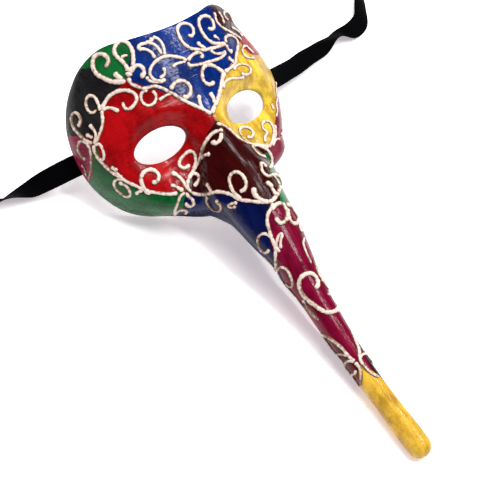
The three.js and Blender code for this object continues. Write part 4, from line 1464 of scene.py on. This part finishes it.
            (3.2, 0.7, 0.7, [(720, 640), (705, 700), (725, 780), (760, 860), (800, 940)]),
            (3.8, 0.8, 1, [(820, 880), (850, 980), (888, 1070), (938, 1145), (990, 1225)]),
            (3.6, 1.2, 1.2, [(985, 1260), (1000, 1300)]),
            (3.0, 0.8, 1.4, [(640, 430), (665, 520), (690, 590)]),
            (3.0, 1.2, 1.2, [(700, 1340), (740, 1370)]),
            (2.6, 1, 1, [(720, 1400), (790, 1470), (870, 1560)]),
        ]},
        "noseTip": {"origin": (300, 260), "scale": 7.84, "lines": [
            (3.4, 1, 1, [(170, 580), (210, 600), (270, 640), (330, 690), (370, 740), (430, 800)]),
            (2.6, 1, 1, [(180, 600), (230, 670), (290, 740), (340, 800)]),
            (2.6, 1, 1, [(285, 740), (340, 740), (400, 770), (430, 800)]),
            (3.0, 1, 1.2, [(430, 800), (380, 790), (355, 820), (370, 870), (410, 900), (440, 880),
                (430, 860)]),
            (3.4, 1, 0.7, [(430, 800), (470, 850), (480, 910), (475, 980)]),
            (2.6, 1.2, 1, [(400, 920), (430, 960), (470, 990)]),
            (3.6, 1, 0.8, [(400, 560), (430, 630), (460, 700), (470, 780), (500, 830), (560, 890),
                (620, 920)]),
            (2.8, 1, 1, [(470, 770), (490, 740), (530, 745), (555, 790), (575, 800)]),
            (2.4, 1, 0.8, [(30, 310), (60, 370), (100, 420), (150, 475)]),
        ]},
    },
    "hiddenFrom": ["browLeft", "cheekLeft", "noseRoot", "nose", "noseTip"],
}


def smoothPicture(points, step):
    # Evenly spaced picture points on a centripetal curve through the given ones: each place on it is mixed
    # from pairs of points, then from pairs of those, by how near its knot lies to theirs
    p = np.asarray(points, float)
    p = np.concatenate([[2 * p[0] - p[1]], p, [2 * p[-1] - p[-2]]])
    knots = runAlong(p, True)
    dense = []
    for i in range(1, len(p) - 2):
        t0, t1, t2, t3 = knots[i - 1:i + 3]
        t = np.linspace(t1, t2, scrollwork["perStretch"], endpoint=False)[:, None]
        a1 = (t1 - t) / (t1 - t0) * p[i - 1] + (t - t0) / (t1 - t0) * p[i]
        a2 = (t2 - t) / (t2 - t1) * p[i] + (t - t1) / (t2 - t1) * p[i + 1]
        a3 = (t3 - t) / (t3 - t2) * p[i + 1] + (t - t2) / (t3 - t2) * p[i + 2]
        b1 = (t2 - t) / (t2 - t0) * a1 + (t - t0) / (t2 - t0) * a2
        b2 = (t3 - t) / (t3 - t1) * a2 + (t - t1) / (t3 - t1) * a3
        dense.append((t2 - t) / (t2 - t1) * b1 + (t - t1) / (t2 - t1) * b2)
    dense.append(p[-2:-1])
    dense = np.concatenate(dense)
    run = runAlong(dense)
    return resampled(dense, run, max(2, int(run[-1] / step) + 1))


def ontoMask(picture):
    # Picture points sent along their camera rays onto the outer skin; one that misses takes the place
    # nearest to its ray, at the distance where the last one struck. Row frame, metres.
    stand = Vector(shot["stand"])
    ways = viewRay(picture)
    hits = [outerTree.ray_cast(stand, Vector(w)) for w in ways]
    reach = [h[3] for h in hits]
    struck = [i for i, r in enumerate(reach) if r is not None]
    points = []
    for i, hit in enumerate(hits):
        if hit[0] is not None:
            points.append(hit[0])
        else:
            near = min(struck, key=lambda k: abs(k - i))
            points.append(outerTree.find_nearest(stand + Vector(ways[i]) * reach[near])[0])
    return np.array(points)


def settled(points):
    # Line in the mask frame evened out, put back on the outer skin, with the skin's direction at each point
    run = runAlong(points)
    line = resampled(points, run, max(3, int(round(run[-1] / scrollwork["step"])) + 1))
    for _ in range(scrollwork["evenings"]):
        line[1:-1] = (line[:-2] + 2 * line[1:-1] + line[2:]) / 4
    line = unplace([outerTree.find_nearest(Vector(p))[0] for p in place(line)])
    return line, unit(steepest(line))


def pasteTube(line, normals, sizes, seed):
    # One raised line: an oval section, flat below, whose width follows the drops at the ends and a slow
    # waver. Both ends close in a quarter circle.
    width, startSize, endSize = sizes
    sides = scrollwork["sides"]
    run = runAlong(line)
    total = run[-1]
    half = width * scrollwork["widen"] / 2

    def wave(kind):
        rate, shift = scrollwork["waves"][kind]
        return np.sin(run * rate + shift * seed)

    size = np.ones(len(line))
    for reach, end in ((run, startSize), (total - run, endSize)):
        if end >= 1:
            share, more = scrollwork["dropReach"]
            size += (end + scrollwork["drop"] - 1) * np.exp(-((reach / (share * half + more)) ** 2))
        else:
            share, more = scrollwork["thinReach"]
            size *= 1 - (1 - end) * np.exp(-reach / (share * total + more))
    size *= 1 + scrollwork["waver"] * (wave("slow") + wave("quick")) / 2
    endRadius = half * np.where(run < total / 2, size[0], size[-1])
    closing = np.minimum(np.minimum(run, total - run) / endRadius, 1)
    radius = half * size * np.sqrt(np.clip(1 - (1 - closing) ** 2, scrollwork["leastEnd"], 1))
    side = unit(np.cross(normals, unit(np.gradient(line, axis=0))))
    a = roundAngles(sides) + np.pi / 2
    out = np.cos(a) * radius[:, None]
    tall = radius * 2 * scrollwork["height"] * (1 + scrollwork["heightWaver"] * wave("height"))
    rise = np.where(np.sin(a) > scrollwork["flatBelow"], np.sin(a) * tall[:, None], -scrollwork["sunk"])
    rings = line[:, None, :] + side[:, None, :] * out[..., None]
    rings = rings + normals[:, None, :] * (rise + scrollwork["raised"])[..., None]
    marks = {
        # crest is 0 at the foot of the section and 1 at its top; the paste is painted browner low down,
        # partly as painted shade
        "crest": np.clip(rise / (half * 2 * scrollwork["height"]), *scrollwork["crestRange"]).ravel(),
        "along": np.repeat(run + scrollwork["seedAlong"] * seed, sides),
        "across": out.ravel(),
        # steep grows as the skin under the line turns away from +Z and towards -X, the side the lamps light
        # least
        "steep": np.repeat((1 - normals[:, 2] - normals[:, 0]) / 2, sides),
    }
    return rings.reshape(-1, 3), tubeFaces(len(line), sides), marks


def hiddenRuns(line, normals):
    # Stretches of a line that the camera can't see: turned away, or behind another part of the mask
    stand = Vector(shot["stand"])
    unseen = []
    for p, n in zip(place(line), place(normals) - place([0, 0, 0])):
        out = Vector(unit(n))
        start = Vector(p) + out * scrollwork["clear"]
        way = (stand - start).normalized()
        facing = way.dot(out)
        behind = facing > scrollwork["facing"] and outerTree.ray_cast(start, way)[0] is not None
        unseen.append(facing < -scrollwork["facing"] or behind)
    runs = []
    begin = None
    for i, flag in enumerate(unseen + [False]):
        if flag and begin is None:
            begin = i
        if not flag and begin is not None:
            if i - begin >= scrollwork["shortest"]:
                runs.append((begin, i))
            begin = None
    return runs


def makeScrollwork():
    # Every line of paste as one piece; the side away from the camera gets the mirror image of the near side
    points = []
    faces = []
    marks = {}
    flip = np.array([-1, 1, 1])
    start = 0
    seed = 0.0

    def put(line, normals, sizes):
        nonlocal start
        p, f, found = pasteTube(line, normals, sizes, seed)
        points.append(p)
        faces.extend(tuple(k + start for k in face) for face in f)
        for mark, values in found.items():
            marks.setdefault(mark, []).append(values)
        start += len(p)

    for name, group in scrollwork["groups"].items():
        for *sizes, spots in group["lines"]:
            seed += scrollwork["seedStep"]
            picture = np.array(group["origin"]) + np.array(spots) / group["scale"]
            line, normals = settled(unplace(ontoMask(smoothPicture(picture, scrollwork["pictureStep"]))))
            put(line, normals, sizes)
            if name in scrollwork["hiddenFrom"]:
                for low, high in hiddenRuns(line * flip, normals * flip):
                    put((line * flip)[low:high], (normals * flip)[low:high], sizes)
    obj = meshObject("pasteScrolls", place(np.concatenate(points)), faces, scrollwork["sharpDeg"])
    for mark, values in marks.items():
        setAttribute(obj.data, mark, np.concatenate(values))
    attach(obj, "root")
    print("scrolls", len(obj.data.vertices), "points", len(obj.data.polygons), "faces")
    return obj


# How the paste looks, in the same terms as the lacquer, but the grooves' cells are per millimetre across a
# line. Flow is the share of its length that they see, which draws them out along it.
paste = {
    "cream": (0.72, 0.595, 0.515),
    # The brown is an antique wash and also painted shade on the lines' low sides and on their side facing -X.
    "brown": (0.170, 0.090, 0.048),
    "flow": 0.12,
    "grooves": (2.2, 2.0, 0.5),
    "grooveDirt": 1.3,
    "patches": (45.0, 2.0),
    "patchDirt": 1.3,
    "mottle": (350.0, 3.0, 0.6),
    "mottleDirt": 1.1,
    "steepRamp": (0.45, 0.85),
    "steepShade": 0.42,
    "cleanAndLitRamp": (0.27, 0.95),
    "roughness": 0.27,
    "fine": (900.0, 2.0),
    "grooveHeight": 1.3,
    "fineHeight": 0.4,
    "bump": (0.5, 0.0004),
}


def pasteMaterial():
    # Cream paste with brown low on its sides, partly an antique wash and partly painted shade, and in grooves
    # drawn out along each line. The brown reaches higher in the dirtier patches, and as painted shade where
    # the skin under it faces away from +Z and towards -X
    mat, tree, shader = newMaterial("scrollPaste")
    coordinate = objectPlace(tree)
    flow = node(tree, "ShaderNodeCombineXYZ")
    feed(tree, times(tree, attribute(tree, "along"), paste["flow"]), flow.inputs[0])
    feed(tree, attribute(tree, "across"), flow.inputs[1])
    grooves = noise(tree, flow.outputs[0], *paste["grooves"])
    parts = [
        (grooves, paste["grooveDirt"]),
        (noise(tree, coordinate, *paste["patches"]), paste["patchDirt"]),
        (noise(tree, coordinate, *paste["mottle"]), paste["mottleDirt"]),
    ]
    level = attribute(tree, "crest")
    for part, amount in parts:
        level = plus(tree, level, times(tree, minus(tree, part, 0.5), amount))
    # Painted shade: browner where the skin under the paste faces away from +Z and towards -X
    steep = ramp(tree, attribute(tree, "steep"), *paste["steepRamp"])
    level = minus(tree, level, times(tree, steep, paste["steepShade"]))
    fine = noise(tree, coordinate, *paste["fine"])
    height = plus(tree, times(tree, grooves, paste["grooveHeight"]), times(tree, fine, paste["fineHeight"]))
    dress(tree, shader, {
        "Base Color": mixColour(tree, ramp(tree, level, *paste["cleanAndLitRamp"]), paste["brown"], paste["cream"]),
        "Roughness": paste["roughness"],
        "Normal": bumped(tree, height, *paste["bump"]),
    })
    return mat


makeScrollwork().data.materials.append(pasteMaterial())


print("done")
